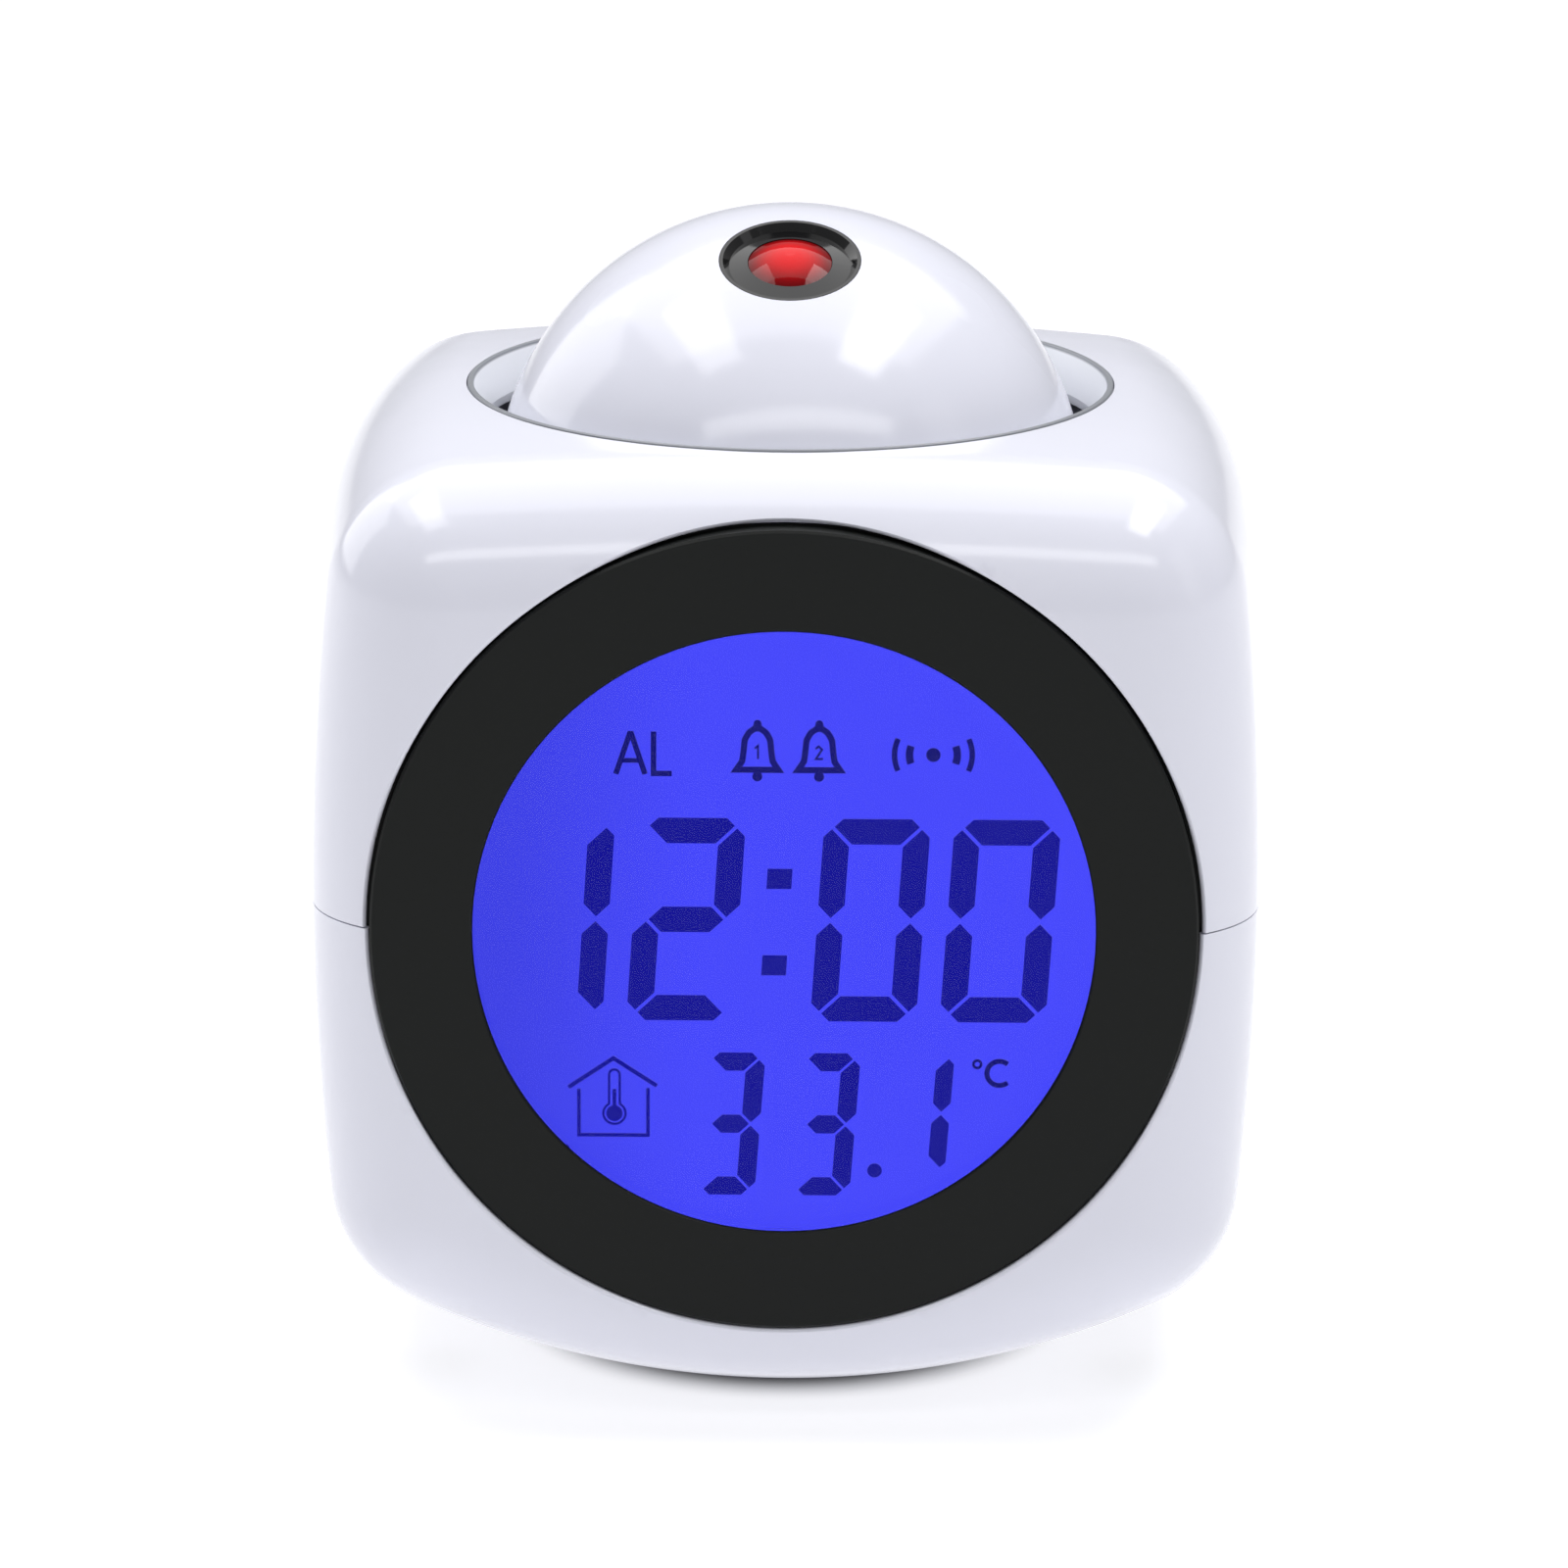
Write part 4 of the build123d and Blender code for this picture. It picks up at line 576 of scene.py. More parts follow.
def lip_rows(ring, edge):
    """Rows that round the opening's edge, from the wall behind it to the outer surface."""
    wall_end = edge - ring * LIP_RADIUS
    wall_end[:, 1] = opening_depth
    rows = [wall_end]
    for step in range(LIP_STEPS, 0, -1):
        angle = math.pi / 2 * step / LIP_STEPS
        inward = LIP_RADIUS * math.sin(angle)
        down = LIP_RADIUS * (1 - math.cos(angle))
        rows.append(edge - ring * inward + np.array([0, 1.0, 0]) * down)
    return rows


def shell_mesh(name, upper, opening):
    """One shell: outer skin, rounded lip round the opening, wall behind it and inner skin."""
    half_gap = SEAM_GAP / 2 if upper else -SEAM_GAP / 2
    turn = np.linspace(0, math.pi, COLUMNS)
    ring = np.stack([np.cos(turn), np.zeros(COLUMNS), np.sin(turn) * (1 if upper else -1)], axis=1)
    outer, normals = skin_rows(ring, opening)
    inner = outer - normals * WALL
    if not upper:
        inner[:, :, 2] = np.maximum(inner[:, :, 2], base + WALL)
    outside_rows = lip_rows(ring, outer[0]) + list(outer)
    grid = np.array(outside_rows + list(inner[:INNER_START:-1]))
    borders = [0, COLUMNS - 1]
    grid[:len(outside_rows), borders, 2] = seam + half_gap
    grid[len(outside_rows):, borders, 2] = seam - half_gap * JOINT_OVERLAP
    faces = []
    for row in range(len(grid)):
        here = row * COLUMNS
        following = (row + 1) % len(grid) * COLUMNS
        for column in range(COLUMNS - 1):
            quad = (here + column, following + column, following + column + 1, here + column + 1)
            faces.append(quad if upper else quad[::-1])
    made = mesh_object(name, grid.reshape(-1, 3), faces)
    work = bmesh.new()
    work.from_mesh(made.data)
    bmesh.ops.holes_fill(work, edges=[e for e in work.edges if e.is_boundary], sides=0)
    bmesh.ops.recalc_face_normals(work, faces=work.faces)
    bmesh.ops.triangulate(work, faces=[f for f in work.faces if len(f.verts) > 4])
    work.to_mesh(made.data)
    work.free()
    print(name, "faces", len(made.data.polygons), "rows", len(grid))
    return made


# %% [markdown]
# The holes are cut with Booleans, as a milling cutter would cut them: round ones for the ring, the
# screws and the bottom's middle, and prisms with rounded corners for the keys and the battery bay.
# The screw wells stand on the inner side of the wall, so they are added before their bores are cut.

# %% Cutters for the shells' holes
def cylinder_cutter(name, radius, centre, length, sides=256, axis=(0, 0, 1)):
    """A plain cylinder that a Boolean takes away."""
    made = mesh_object(name, [], [])
    work = bmesh.new()
    bmesh.ops.create_cone(
        work, cap_ends=True, segments=sides, radius1=radius, radius2=radius, depth=length,
        matrix=Matrix.Translation(centre) @ Vector(axis).to_track_quat("Z", "Y").to_matrix().to_4x4(),
    )
    work.to_mesh(made.data)
    work.free()
    return made


def rounded_cutter(name, half_x, half_z, corner, centre, depth, steps=24):
    """A prism along Y with a rounded rectangle for its outline."""
    outline = []
    for turn, (sign_x, sign_z) in enumerate(((1, 1), (-1, 1), (-1, -1), (1, -1))):
        for step in range(steps + 1):
            angle = math.pi / 2 * (turn + step / steps)
            outline.append((
                sign_x * (half_x - corner) + corner * math.cos(angle),
                sign_z * (half_z - corner) + corner * math.sin(angle),
            ))
    count = len(outline)
    front = [(centre[0] + x, centre[1], centre[2] + z) for x, z in outline]
    rear = [(x, y + depth, z) for x, y, z in front]
    faces = [tuple(range(count)), tuple(range(2 * count - 1, count - 1, -1))]
    for i in range(count):
        j = (i + 1) % count
        faces.append((i, count + i, count + j, j))
    made = mesh_object(name, front + rear, faces)
    face_outward(made, merge=True)
    return made


def standing_boss(name, radius, x, y, top, sunk=0.5 * MM, sides=96):
    """A solid post whose foot follows the case's surface, a little way inside the wall."""
    turns = np.linspace(0, 2 * math.pi, sides, endpoint=False)
    below = np.full(sides, -STRAIGHT_START)
    starts = np.stack([x + radius * np.cos(turns), y + radius * np.sin(turns), below], axis=1)
    starts = np.vstack([starts, [[x, y, -STRAIGHT_START]]])
    foot = meet_case(starts, np.tile([0, 0, 1.0], (sides + 1, 1)))[0] + np.array([0, 0, sunk])
    head = foot.copy()
    head[:, 2] = top
    faces = []
    for i in range(sides):
        j = (i + 1) % sides
        faces.append((i, j, sides + 1 + j, sides + 1 + i))
        faces.append((sides, j, i))
        faces.append((2 * sides + 1, sides + 1 + i, sides + 1 + j))
    return mesh_object(name, np.vstack([foot, head]), faces)


def cut(target, cutters, operation="DIFFERENCE"):
    """Takes the cutters away from the target (or adds them) with a Boolean, and drops the cutters."""
    for cutter in cutters:
        modifier = target.modifiers.new("cut", "BOOLEAN")
        modifier.object = cutter
        modifier.operation = operation
        modifier.solver = "EXACT"
    settle(target)
    for cutter in cutters:
        bpy.data.objects.remove(cutter)


def settle(target):
    """Turns an object with modifiers into a plain mesh."""
    shape = bpy.context.evaluated_depsgraph_get()
    shape.update()
    made = bpy.data.meshes.new_from_object(target.evaluated_get(shape))
    target.modifiers.clear()
    target.data = made


def rows_of_three(items, what):
    """One vector for each item of a mesh, as an array."""
    values = np.zeros(len(items) * 3)
    items.foreach_get(what, values)
    return values.reshape(-1, 3)


def shade_case(target, sharp_degrees=30, near=0.02 * MM, agree_degrees=12):
    """Smooth shading whose normals on the outer skin come from the rule itself."""
    mesh = target.data
    mesh.shade_smooth()
    mesh.set_sharp_from_angle(angle=math.radians(sharp_degrees))
    for face in mesh.polygons:
        if abs(face.center.z - base) < 0.001 * MM:
            face.use_smooth = False
    corners = rows_of_three(mesh.corner_normals, "vector")
    owner = np.zeros(len(mesh.loops), int)
    mesh.loops.foreach_get("vertex_index", owner)
    gap, normal = skin(rows_of_three(mesh.vertices, "co"))
    on_skin = (np.abs(gap) < near)[owner]
    agrees = np.sum(corners * normal[owner], axis=1) > math.cos(math.radians(agree_degrees))
    chosen = on_skin & agrees
    corners[chosen] = normal[owner][chosen]
    mesh.normals_split_custom_set(corners.tolist())
    print(target.name, "corners on the rule's skin:", int(chosen.sum()), "of", len(corners))


# %% [markdown]
# The upper shell has the ring's seat, four key holes and the upper part of the battery bay.  The bay
# lies across the joint, so both shells are cut by the same prism.

# %% Upper shell
OPENING_UPPER = 35.35 * MM
OPENING_LOWER = 35.15 * MM
RING_HOLE = 28.4 * MM
BAY_RIM = 1.7 * MM
BAY_BOTTOM = 17.3 * MM
BAY_CORNER = 4.7 * MM
KEY_HOLE = (4.6 * MM, 2.6 * MM, 2.59 * MM)     # half width, half height and corner
BAY_CUT_START = 20 * MM        # the prisms start inside the case and reach out through its back
KEY_CUT_START = 25 * MM
CUT_DEPTH = 30 * MM
ring_low, ring_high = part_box("dome_ring")


def bay_cutter():
    """The hole for the rim of the battery bay."""
    low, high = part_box("battery_door")
    middle = Vector((0, BAY_CUT_START, (high.z + BAY_BOTTOM) / 2))
    half_width = (high.x - low.x) / 2 + BAY_RIM
    half_height = (high.z - BAY_BOTTOM) / 2 + BAY_RIM
    return rounded_cutter("bay_hole", half_width, half_height, BAY_CORNER, middle, CUT_DEPTH)


def key_cutter(key):
    """The hole round one key."""
    low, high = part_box(key)
    middle = (low + high) / 2
    middle.y = KEY_CUT_START
    return rounded_cutter(key + "_hole", *KEY_HOLE, middle, CUT_DEPTH)


upper_shell = shell_mesh("upper_shell", True, OPENING_UPPER)
cutters = [cylinder_cutter("ring_hole", RING_HOLE, (0, 0, ring_high.z), 20 * MM, 384), bay_cutter()]
cutters += [key_cutter(key) for key in ("mode_key", "set_key", "up_key", "down_key")]
cut(upper_shell, cutters)
shade_case(upper_shell)
upper_shell.data.materials.append(white)
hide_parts("upper_case")
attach(upper_shell, "case")

# %% [markdown]
# ## Holes and turned pieces by rule
#
# Two small Geometry Nodes trees make what follows a rule.  The first sets copies of a drill evenly on
# a circle, for the feet's recesses and the sound holes in the bottom.  The second turns a profile about
# the vertical axis, as a lathe does, and rounds its corners first, because no moulded edge is sharp.

# %% Geometry Nodes helpers
def new_tree(name, **sockets):
    """A Geometry Nodes tree with named inputs; returns the tree, its input node and its output node."""
    tree = bpy.data.node_groups.new(name, "GeometryNodeTree")
    tree.interface.new_socket("Geometry", in_out="OUTPUT", socket_type="NodeSocketGeometry")
    for socket, kind in sockets.items():
        shown_name = socket.replace("_", " ")
        tree.interface.new_socket(shown_name, in_out="INPUT", socket_type="NodeSocket" + kind)
    return tree, add(tree, "NodeGroupInput"), add(tree, "NodeGroupOutput")


def grow(name, tree, **values):
    """Runs a tree on an empty object with the given inputs, and keeps the result as a plain mesh."""
    made = mesh_object(name, [], [])
    modifier = made.modifiers.new("rule", "NODES")
    modifier.node_group = tree
    for item in tree.interface.items_tree:
        if item.in_out == "INPUT":
            modifier[item.identifier] = values[item.name.replace(" ", "_")]
    settle(made)
    return made


def finish_tree(tree, given, result, geometry):
    """Ends a tree: its copies become real geometry and get the given material."""
    real = add(tree, "GeometryNodeRealizeInstances", {"Geometry": geometry})
    painted = add(
        tree, "GeometryNodeSetMaterial",
        {"Geometry": real.outputs["Geometry"], "Material": given.outputs["Material"]},
    )
    tree.links.new(painted.outputs["Geometry"], result.inputs["Geometry"])
    return tree


def drill_ring():
    """Tree: round drills, evenly spaced on a circle."""
    tree, given, result = new_tree(
        "drill ring", Circle_Radius="Float", Drill_Radius="Float", Count="Int", Start_Angle="Float",
        Base="Float", Length="Float", Material="Material",
    )
    turn = add(tree, "ShaderNodeCombineXYZ", {"Z": given.outputs["Start Angle"]})
    lift = add(tree, "ShaderNodeCombineXYZ", {"Z": given.outputs["Base"]})
    spots = add(
        tree, "GeometryNodeMeshCircle",
        {"Vertices": given.outputs["Count"], "Radius": given.outputs["Circle Radius"]},
    )
    turned = add(
        tree, "GeometryNodeTransform",
        {
            "Geometry": spots.outputs["Mesh"], "Translation": lift.outputs["Vector"],
            "Rotation": turn.outputs["Vector"],
        },
    )
    drill = add(
        tree, "GeometryNodeMeshCylinder",
        {"Vertices": 64, "Radius": given.outputs["Drill Radius"], "Depth": given.outputs["Length"]},
    )
    placed = add(
        tree, "GeometryNodeInstanceOnPoints",
        {"Points": turned.outputs["Geometry"], "Instance": drill.outputs["Mesh"]},
    )
    return finish_tree(tree, given, result, placed.outputs["Instances"])


def turned_piece():
    """Tree: a closed profile, drawn with x as its radius, is rounded and turned about Z."""
    tree, given, result = new_tree(
        "turned piece", Profile="Object", Corner_Radius="Float", Corner_Steps="Int",
        Path_Radius="Float", Turn_Steps="Int", Material="Material",
    )
    drawn = add(tree, "GeometryNodeObjectInfo", {"Object": given.outputs["Profile"]})
    line = add(tree, "GeometryNodeMeshToCurve", {"Mesh": drawn.outputs["Geometry"]})
    rounded = add(
        tree, "GeometryNodeFilletCurve",
        {
            "Curve": line.outputs["Curve"], "Radius": given.outputs["Corner Radius"],
            "Count": given.outputs["Corner Steps"], "Limit Radius": True,
        },
        mode="POLY",
    )
    path = add(
        tree, "GeometryNodeCurvePrimitiveCircle",
        {"Resolution": given.outputs["Turn Steps"], "Radius": given.outputs["Path Radius"]},
    )
    swept = add(
        tree, "GeometryNodeCurveToMesh",
        {"Curve": path.outputs["Curve"], "Profile Curve": rounded.outputs["Curve"]},
    )
    return finish_tree(tree, given, result, swept.outputs["Mesh"])


DRILLS = drill_ring()
LATHE = turned_piece()

# %% [markdown]
# The lower shell is domed below and cut flat where it would touch the table.  Four screw wells lead up
# to the chassis, four shallow recesses take the rubber feet, and two rings of small holes round a
# middle one let the speaker's sound out.

# %% Lower shell
WELL_X, WELL_Y = 31 * MM, 16 * MM
WELL_RADIUS, WELL_BORE, SCREW_HOLE = 4.2 * MM, 3.1 * MM, 1.65 * MM
SCREW_HEAD = 2.0 * MM
FOOT_CIRCLE, FOOT_HOLE = 17.5 * MM, 3.3 * MM
SOUND_HOLE = 0.9 * MM
SOUND_RINGS = ((4.2 * MM, 6, 0.0), (8.4 * MM, 12, math.radians(15)))     # radius, count, first angle
THROUGH = 12 * MM
WIDER = 60 * MM                # beyond the clock on every side
well_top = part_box("chassis")[0].z
well_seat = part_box("case_screws")[0].z + SCREW_HEAD
wells = [(x, y) for x in (-WELL_X, WELL_X) for y in (-WELL_Y, WELL_Y)]

lower_shell = shell_mesh("lower_shell", False, OPENING_LOWER)
cut(lower_shell, [standing_boss("well", WELL_RADIUS, x, y, well_top) for x, y in wells], "UNION")
cutters = [
    bay_cutter(),
    cylinder_cutter("base_cut", WIDER, (0, 0, base - 5 * MM), 10 * MM),
    cylinder_cutter("middle_sound_hole", SOUND_HOLE, (0, 0, 0), THROUGH, 48),
]
for x, y in wells:
    cutters.append(cylinder_cutter("well_bore", WELL_BORE, (x, y, 0), 2 * well_seat, 96))
    cutters.append(cylinder_cutter("screw_hole", SCREW_HOLE, (x, y, well_seat), 10 * MM, 48))
cutters.append(grow(
    "foot_drills", DRILLS, Circle_Radius=FOOT_CIRCLE, Drill_Radius=FOOT_HOLE, Count=4,
    Start_Angle=math.pi / 4, Base=0.0, Length=2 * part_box("feet")[1].z, Material=white,
))
for radius, count, start in SOUND_RINGS:
    cutters.append(grow(
        "sound_drills", DRILLS, Circle_Radius=radius, Drill_Radius=SOUND_HOLE, Count=count,
        Start_Angle=start, Base=0.0, Length=THROUGH, Material=white,
    ))
cut(lower_shell, cutters)
shade_case(lower_shell)
lower_shell.data.materials.append(white)
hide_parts("lower_case")
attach(lower_shell, "case")

# %% [markdown]
# ## The silver ring
#
# The ring is a short funnel of silver-painted plastic round the ball.  Its flange sits inside the
# upper shell, so only its rim and its sloping inner side are seen.  It is turned from its profile,
# with the corners rounded so that they catch a thin line of light.

# %% Silver ring
def turned(name, outline, corner, material):
    """A turned piece from (radius, height) corners in metres, listed round the closed profile."""
    mean = sum(radius for radius, height in outline) / len(outline)
    count = len(outline)
    corners = [(radius - mean, -height, 0) for radius, height in outline]
    profile = mesh_object(name + "_profile", corners, [], [(i, (i + 1) % count) for i in range(count)])
    made = grow(
        name, LATHE, Profile=profile, Corner_Radius=corner, Corner_Steps=4, Path_Radius=mean,
        Turn_Steps=288, Material=material,
    )
    bpy.data.objects.remove(profile)
    face_outward(made)
    made.data.shade_smooth()
    made.data.set_sharp_from_angle(angle=math.radians(40))
    reach = max(vertex.co.x for vertex in made.data.vertices)
    print(name, "faces", len(made.data.polygons), "radius mm", round(reach / MM, 2))
    return made


ring_radius = 28.3 * MM
flange_radius = (ring_high.x - ring_low.x) / 2
rim = ring_high.z + 0.15 * MM
flange_top = rim - 2.8 * MM
silver_ring = turned("silver_ring", [
    (ring_radius - 0.5 * MM, rim), (ring_radius, rim), (ring_radius, flange_top),
    (flange_radius, flange_top), (flange_radius, ring_low.z), (ring_radius - 1.1 * MM, ring_low.z),
    (ring_radius - 1.3 * MM, ring_low.z + 0.9 * MM),
], 0.15 * MM, FINISHES["ring_silver"])
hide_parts("dome_ring")
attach(silver_ring, "case")

# %% [markdown]
# ## The return springs
#
# Two coils of bare steel wire stand on the chassis, under the cradle's ears, and lift the ball again
# after it has been pressed for snooze.  A coil is a wire swept along a spiral, so a small tree makes
# the pair.

# %% Return springs
def coil_row():
    """Tree: upright coils of wire, two in a row."""
    tree, given, result = new_tree(
        "coil row", Coil_Radius="Float", Wire_Radius="Float", Height="Float", Turns="Float",
        First="Vector", Step="Vector", Material="Material",
    )
    spiral = add(
        tree, "GeometryNodeCurveSpiral",
        {
            "Resolution": 36, "Rotations": given.outputs["Turns"], "Height": given.outputs["Height"],
            "Start Radius": given.outputs["Coil Radius"], "End Radius": given.outputs["Coil Radius"],
        },
    )
    wire = add(
        tree, "GeometryNodeCurvePrimitiveCircle",
        {"Resolution": 12, "Radius": given.outputs["Wire Radius"]},
    )
    coil = add(
        tree, "GeometryNodeCurveToMesh",
        {"Curve": spiral.outputs["Curve"], "Profile Curve": wire.outputs["Curve"], "Fill Caps": True},
    )
    spots = add(
        tree, "GeometryNodeMeshLine",
        {"Count": 2, "Start Location": given.outputs["First"], "Offset": given.outputs["Step"]},
    )
    placed = add(
        tree, "GeometryNodeInstanceOnPoints",
        {"Points": spots.outputs["Mesh"], "Instance": coil.outputs["Mesh"]},
    )
    return finish_tree(tree, given, result, placed.outputs["Instances"])


WIRE = 0.3 * MM
low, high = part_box("cradle_springs")
spring_height = high.z - low.z
coil_x = high.x - high.y
springs = grow(
    "return_springs", coil_row(), Coil_Radius=high.y - WIRE, Wire_Radius=WIRE,
    Height=spring_height - 2 * WIRE, Turns=5.0, First=(-coil_x, 0, low.z + WIRE),
    Step=(2 * coil_x, 0, 0), Material=FINISHES["spring_steel"],
)
springs.data.shade_smooth()
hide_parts("cradle_springs")
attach(springs, "case")
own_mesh(springs)
print("springs faces", len(springs.data.polygons), "height mm", round(spring_height / MM, 2))

# %% [markdown]
# ## The picture on the display
#
# In the real display the segments are printed electrodes between two sheets of glass, and a driven
# segment turns dark against the blue light.  The time is shown in sloping seven-segment digits, above
# them an AL mark, two bells and a signal mark, and below them the room temperature.  A painted picture
# would blur up close, so each mark is a thin closed plate just in front of the glass.  Lengths in this
# part are millimetres from the middle of the display, x to the right and z up.

# %% Plates from outlines
GLASS_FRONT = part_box("lcd_panel")[0].y
PLATE_FRONT = GLASS_FRONT - 0.05 * MM
PLATE_BACK = GLASS_FRONT - 0.01 * MM
SHARPEST = 0.35                # keeps the mitre of a sharp corner short


class Picture:
    """Closed flat plates that become one piece in front of the glass."""

    def __init__(self):
        self.vertices = []
        self.faces = []

    def points(self, outline):
        """Adds the outline's points in front and behind; returns the number of the first."""
        first = len(self.vertices)
        for depth in (PLATE_FRONT, PLATE_BACK):
            self.vertices.extend((x * MM, depth, seam + z * MM) for x, z in outline)
        return first

    def plate(self, outline):
        """Adds a plate with the outline, given anticlockwise as seen from the front."""
        first = self.points(outline)
        count = len(outline)
        self.faces.append(tuple(range(first, first + count)))
        self.faces.append(tuple(range(first + 2 * count - 1, first + count - 1, -1)))
        for i in range(count):
            j = (i + 1) % count
            self.faces.append((first + j, first + i, first + count + i, first + count + j))

    def disc(self, x, z, radius, sides=40):
        """Adds a round plate."""
        turns = [2 * math.pi * i / sides for i in range(sides)]
        self.plate([(x + radius * math.cos(t), z + radius * math.sin(t)) for t in turns])

    def stroke(self, path, width, closed=False):
        """Adds a line of even width along a path, with mitred corners, as one closed plate."""
        count = len(path)
        sides = []
        for i, (x, z) in enumerate(path):
            directions = []
            for a, b in ((i - 1, i), (i, i + 1)):
                if closed or (0 <= a and b < count):
                    ax, az = path[a % count]
                    bx, bz = path[b % count]
                    length = math.hypot(bx - ax, bz - az)
                    directions.append(((bx - ax) / length, (bz - az) / length))
            dx, dz = directions[0]
            ex, ez = directions[-1]
            reach = width / 2 / max(SHARPEST, 1 + dx * ex + dz * ez)
            across = ((dz + ez) * reach, (dx + ex) * reach)
            sides.append((x - across[0], z + across[1]))
            sides.append((x + across[0], z - across[1]))
        first = self.points(sides)
        rear = 2 * count
        for i in range(count if closed else count - 1):
            a, b = first + 2 * i, first + 2 * ((i + 1) % count)
            self.faces.append((a, a + 1, b + 1, b))
            self.faces.append((a + rear, b + rear, b + 1 + rear, a + 1 + rear))
            self.faces.append((a, b, b + rear, a + rear))
            self.faces.append((a + 1, a + 1 + rear, b + 1 + rear, b + 1))
        if not closed:
            for a in (first, first + 2 * (count - 1)):
                end = (a, a + rear, a + 1 + rear, a + 1)
                self.faces.append(end if a == first else end[::-1])

    def piece(self, name, material):
        """Makes the mesh; it rides with the case."""
        made = mesh_object(name, self.vertices, self.faces)
        made.data.materials.append(material)
        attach(made, "case")
        print(name, "faces", len(made.data.polygons))


def arc(x, z, radius, start, end, steps=10):
    """Points along an arc, with angles in degrees."""
    turns = [math.radians(start + (end - start) * i / steps) for i in range(steps + 1)]
    return [(x + radius * math.cos(t), z + radius * math.sin(t)) for t in turns]


def half_plane(outline, across, up, limit):
    """The part of a convex outline where across * x + up * z is at least the limit."""
    kept = []
    for i, (x, z) in enumerate(outline):
        before_x, before_z = outline[i - 1]
        here = across * x + up * z - limit
        before = across * before_x + up * before_z - limit
        if (here >= 0) != (before >= 0):
            share = before / (before - here)
            kept.append((before_x + (x - before_x) * share, before_z + (z - before_z) * share))
        if here >= 0:
            kept.append((x, z))
    return kept


# %% [markdown]
# A segment is a rectangle with its ends cut off: each outline starts as the digit's own box and is
# trimmed by one straight line after another.  One rule makes a horizontal outer segment, one the
# middle segment and one an upright segment, and mirroring gives the rest.

# %% Seven-segment digits
CORNER_CUT = 0.72       # of the stroke's width
SEGMENT_GAP = 0.10      # of the stroke's width, half the light line between two segments
LIT = {"0": "abcdef", "1": "bc", "2": "abged", "3": "abgcd"}


def segment(letter, width, height, line):
    """Outline of one segment of an upright digit that stands on the origin."""
    corner, gap, middle = CORNER_CUT * line, SEGMENT_GAP * line, height / 2
    if letter in "ad":
        trims = [
            (0, 1, height - line), (1, -1, corner - height), (-1, -1, corner - height - width),
            (1, 1, height + gap), (-1, 1, height - width + gap),
        ]
    elif letter == "g":
        trims = [(0, 1, middle - line / 2), (0, -1, -middle - line / 2)]
        for up in (1, -1):
            trims.append((1, up, line / 2 + gap + up * middle))
            trims.append((-1, up, line / 2 + gap - width + up * middle))
    else:
        trims = [
            (-1, 0, -line), (1, -1, corner - height), (-1, -1, gap - height),
            (1, 1, middle + line / 2 + gap), (-1, 1, middle - line / 2 + gap),
        ]
    shape = [(0, 0), (width, 0), (width, height), (0, height)]
    for trim in trims:
        shape = half_plane(shape, *trim)
    if letter in "bc":
        shape = [(width - x, z) for x, z in reversed(shape)]
    if letter in "cde":
        shape = [(x, height - z) for x, z in reversed(shape)]
    return shape


def digit(picture, value, left, bottom, width, height, line, slope):
    """Adds the lit segments of one digit, leaning to the right by the slope."""
    for letter in LIT[value]:
        outline = segment(letter, width, height, line)
        picture.plate([(left + x + slope * z, bottom + z) for x, z in outline])


TIME = {"bottom": -8.42, "width": 9.0, "height": 17.85, "line": 2.22, "slope": 0.064}
DEGREES = {"bottom": -23.97, "width": 5.05, "height": 12.7, "line": 1.6, "slope": 0.073}
TENTHS = {"bottom": -22.0, "width": 4.2, "height": 10.9, "line": 1.5, "slope": 0.073}
COLON_DOT = [(0, 0), (2.1, 0), (2.2, 1.76), (0.1, 1.76)]

numbers = Picture()
for value, left in (("1", -24.45), ("2", -13.4), ("0", 2.23), ("0", 13.24)):
    digit(numbers, value, left, **TIME)
for left, bottom in ((-1.52, 3.25), (-1.94, -4.38)):
    numbers.plate([(left + x, bottom + z) for x, z in COLON_DOT])
for value, left in (("3", -7.5), ("3", 0.62)):
    digit(numbers, value, left, **DEGREES)
digit(numbers, "1", 9.6, **TENTHS)
numbers.disc(7.82, -21.71, 0.62)     # the decimal point

# %% [markdown]
# The small marks are drawn with lines.  A house with a thermometer in it stands for the temperature
# indoors, and it is as dark as the digits.  The others are a little fainter: AL for the alarm, two
# bells with plain numerals, a signal mark, and the degree sign with a C.

# %% House and thermometer
HOUSE_LINE = 0.3
TUBE_X, BULB_Z = -14.42, -16.75
numbers.stroke([(-18.33, -14.45), (-14.5, -11.85), (-10.8, -14.28)], HOUSE_LINE + 0.05)
numbers.stroke([(-17.45, -14.6), (-17.45, -18.7), (-11.56, -18.7), (-11.56, -14.5)], HOUSE_LINE)
tube = arc(TUBE_X, -13.3, 0.45, 0, 180) + arc(TUBE_X, BULB_Z, 0.95, 119, 421, 24)
numbers.stroke(tube, 0.2, closed=True)
numbers.disc(TUBE_X, BULB_Z, 0.7)
numbers.stroke([(TUBE_X, BULB_Z + 0.65), (TUBE_X, BULB_Z + 2.15)], 0.32)
numbers.piece("display_digits", lcd_segment("driven_segment", "#0F0F94"))

# %% Small marks
LETTER_LINE = 0.46
BELL_Z = 13.68
BELL = [(1.78, 0.0), (1.28, 0.75), (1.16, 1.7), (1.08, 2.6), (0.72, 3.25), (0.22, 3.6)]
NUMERALS = {
    "1": [(-0.22, 1.85), (0.05, 2.1), (0.05, 0.95)],
    "2": [(-0.3, 1.85), (-0.05, 2.07), (0.24, 1.8), (-0.28, 0.98), (0.32, 0.98)],
}
SIGNAL = (12.5, 15.08)

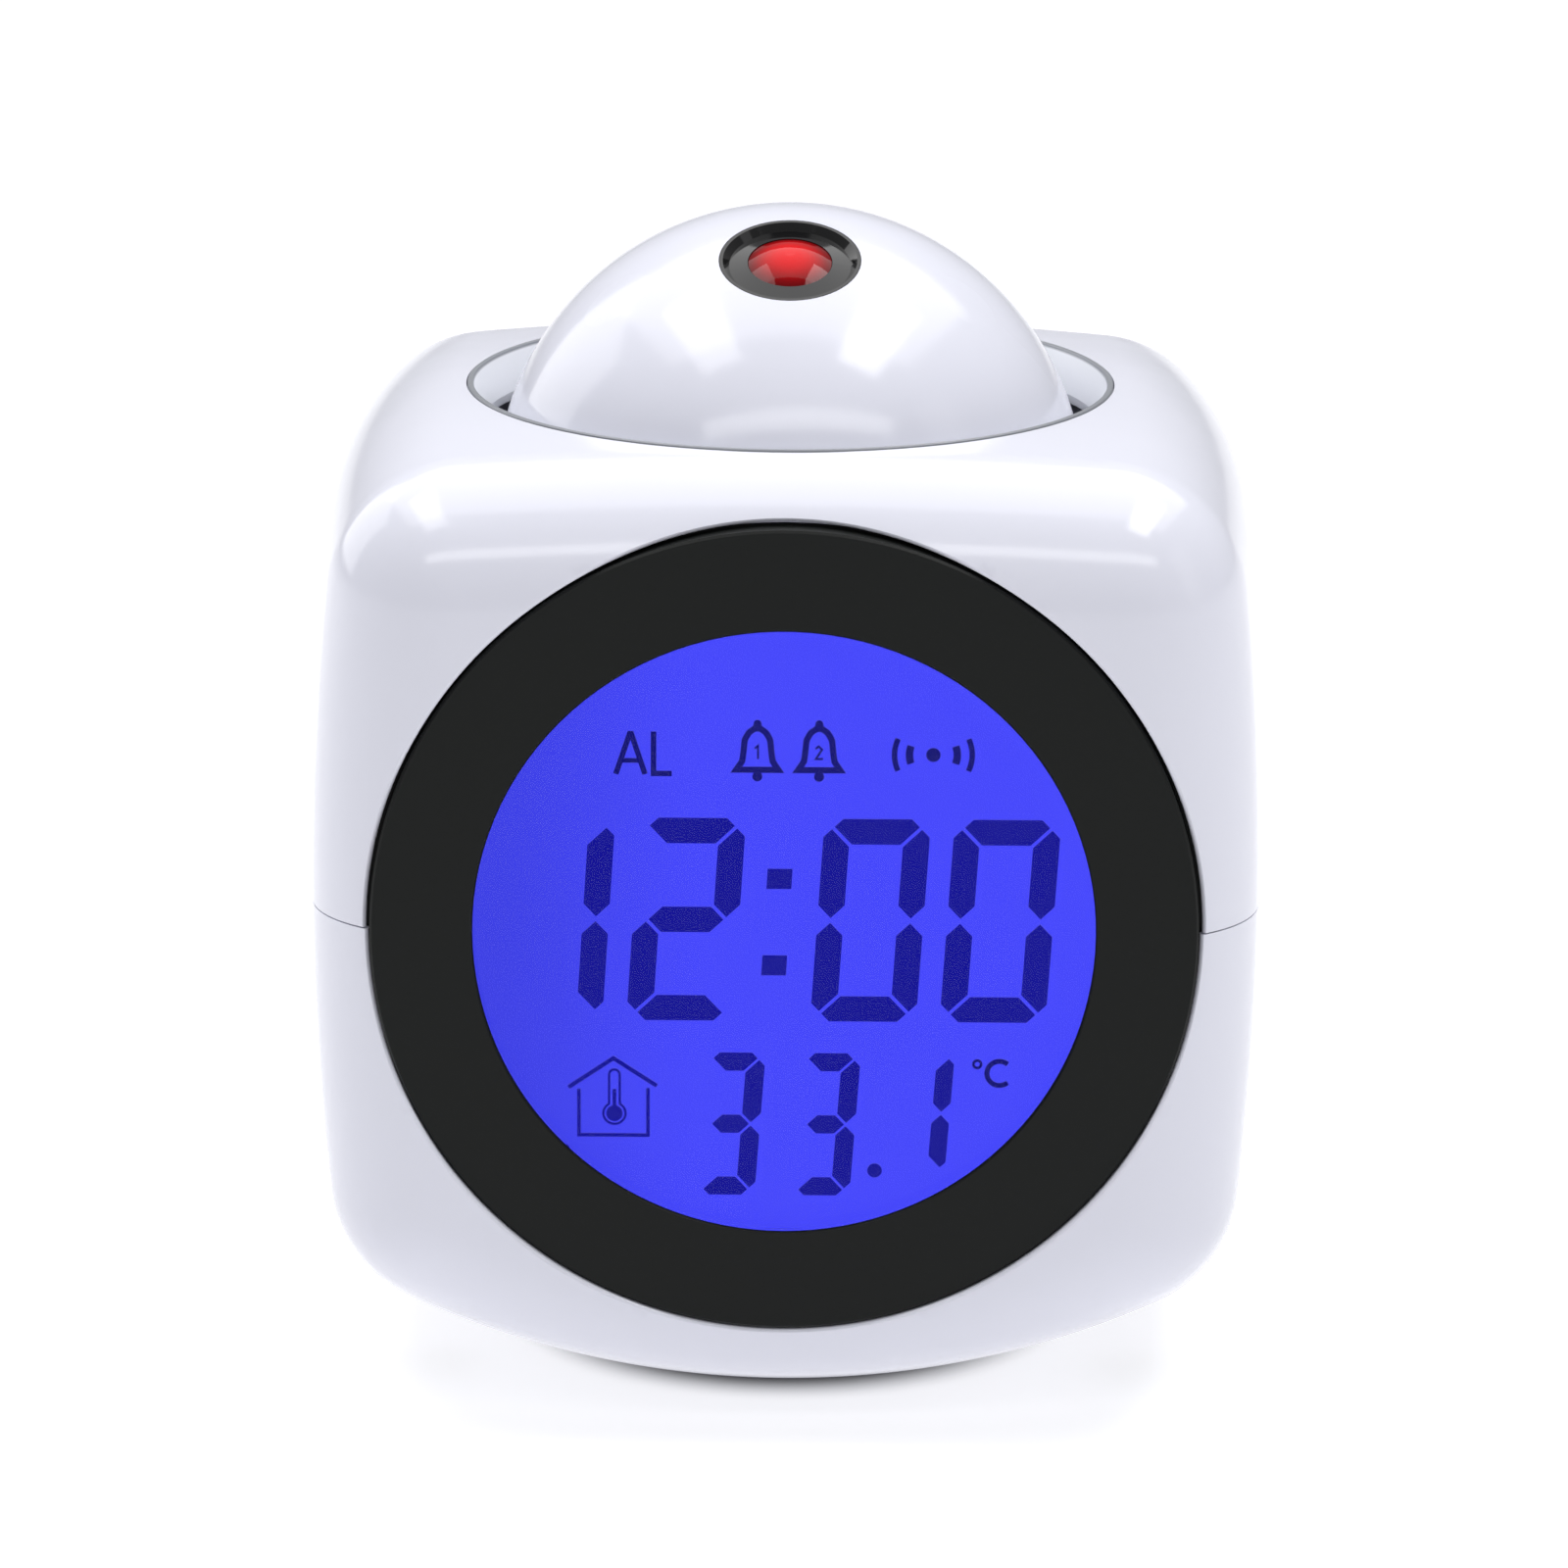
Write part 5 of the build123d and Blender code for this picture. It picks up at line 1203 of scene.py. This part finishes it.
marks = Picture()
marks.stroke([(-14.27, 13.24), (-13.1, 16.75), (-12.96, 16.75), (-11.81, 13.24)], LETTER_LINE)
marks.stroke([(-13.75, 14.42), (-12.30, 14.42)], 0.4)
marks.stroke([(-11.09, 16.95), (-11.09, 13.3), (-9.55, 13.3)], LETTER_LINE)

for number, middle_x in (("1", -2.33), ("2", 2.88)):
    outline = [(middle_x + x, BELL_Z + z) for x, z in BELL]
    outline += [(middle_x - x, BELL_Z + z) for x, z in reversed(BELL)]
    marks.stroke(outline, 0.52, closed=True)
    marks.disc(middle_x, BELL_Z + 4.0, 0.34)
    marks.disc(middle_x, BELL_Z - 0.58, 0.42)
    marks.stroke([(middle_x + x, BELL_Z + z) for x, z in NUMERALS[number]], 0.17)

marks.disc(*SIGNAL, 0.6)
for radius, spread, width in ((2.02, 22, 0.62), (3.28, 25, 0.46)):
    for facing in (0, 180):
        marks.stroke(arc(*SIGNAL, radius, facing - spread, facing + spread), width)

# The degree sign and its C.
marks.stroke(arc(16.5, -12.15, 0.33, 0, 360, 20)[:-1], 0.22, closed=True)
marks.stroke(arc(18.4, -12.95, 1.08, 50, 310, 16), 0.42)
marks.piece("display_marks", lcd_segment("driven_mark", "#0E0E70"))

# %% [markdown]
# ## The studio
#
# Glossy plastic needs something bright to reflect.  A large panel hangs overhead, with a box to each
# side of it, so that the ball shows a split highlight.  A long strip in front lights the edge above the
# display, and two small boxes model the sides.  The floor is a light table: it is lit from below, which
# keeps it white and the shadow under the clock soft.

# %% Floor and lights
FLOOR_REACH = 3.0              # metres from the middle to each side


def stage_floor():
    """A large plain floor, lit from below except right under the feet."""
    corners = [(x * FLOOR_REACH, y * FLOOR_REACH, 0) for x, y in ((-1, -1), (1, -1), (1, 1), (-1, 1))]
    floor = mesh_object("floor", corners, [(0, 1, 2, 3)])
    material, tree, principled = new_material("lit_white_floor", "#ADADB0", 0.7)
    principled.inputs["Emission Color"].default_value = linear("#FFFFFF")
    place = add(tree, "ShaderNodeTexCoord")
    apart = add(tree, "ShaderNodeVectorMath", {0: place.outputs["Object"]}, operation="LENGTH")
    glow = add(
        tree, "ShaderNodeMapRange",
        {"Value": apart.outputs["Value"], "From Min": 19 * MM, "From Max": 26 * MM, "To Max": 0.66},
        interpolation_type="SMOOTHSTEP",
    )
    tree.links.new(glow.outputs["Result"], principled.inputs["Emission Strength"])
    floor.data.materials.append(material)


def soft_box(name, place, target, size, watts):
    """A rectangular area light that faces the target."""
    light = bpy.data.lights.new(name, "AREA")
    light.shape = "RECTANGLE"
    light.size, light.size_y = size
    light.energy = watts
    box = bpy.data.objects.new(name, light)
    box.location = place
    box.rotation_mode = "QUATERNION"
    box.rotation_quaternion = (Vector(target) - Vector(place)).to_track_quat("-Z", "Y")
    scene.collection.objects.link(box)


MIDDLE = (0, 0, 0.05)
SOFT_BOXES = (                 # name, place, target, size and watts
    ("overhead_panel", (0, 0.25, 0.8), (0, 0.05, 0.05), (1.4, 0.9), 6.5),
    ("overhead_left", (-0.34, -0.02, 0.74), (-0.2, 0, 0.05), (0.52, 0.2), 1.1),
    ("overhead_right", (0.34, -0.02, 0.74), (0.2, 0, 0.05), (0.52, 0.2), 1.9),
    ("front_strip", (0.05, -0.62, 0.66), MIDDLE, (1.2, 0.12), 1.5),
    ("box_right", (0.8, -0.25, 0.35), MIDDLE, (0.25, 0.6), 0.25),
    ("panel_behind_left", (-0.6, 0.4, 0.35), MIDDLE, (0.5, 0.5), 1.3),
)
stage_floor()
for values in SOFT_BOXES:
    soft_box(*values)

world = bpy.data.worlds.new("studio")
scene.world = world
world.use_nodes = True
background = world.node_tree.nodes["Background"]
background.inputs["Color"].default_value = linear("#F6F6F8")
background.inputs["Strength"].default_value = 0.3
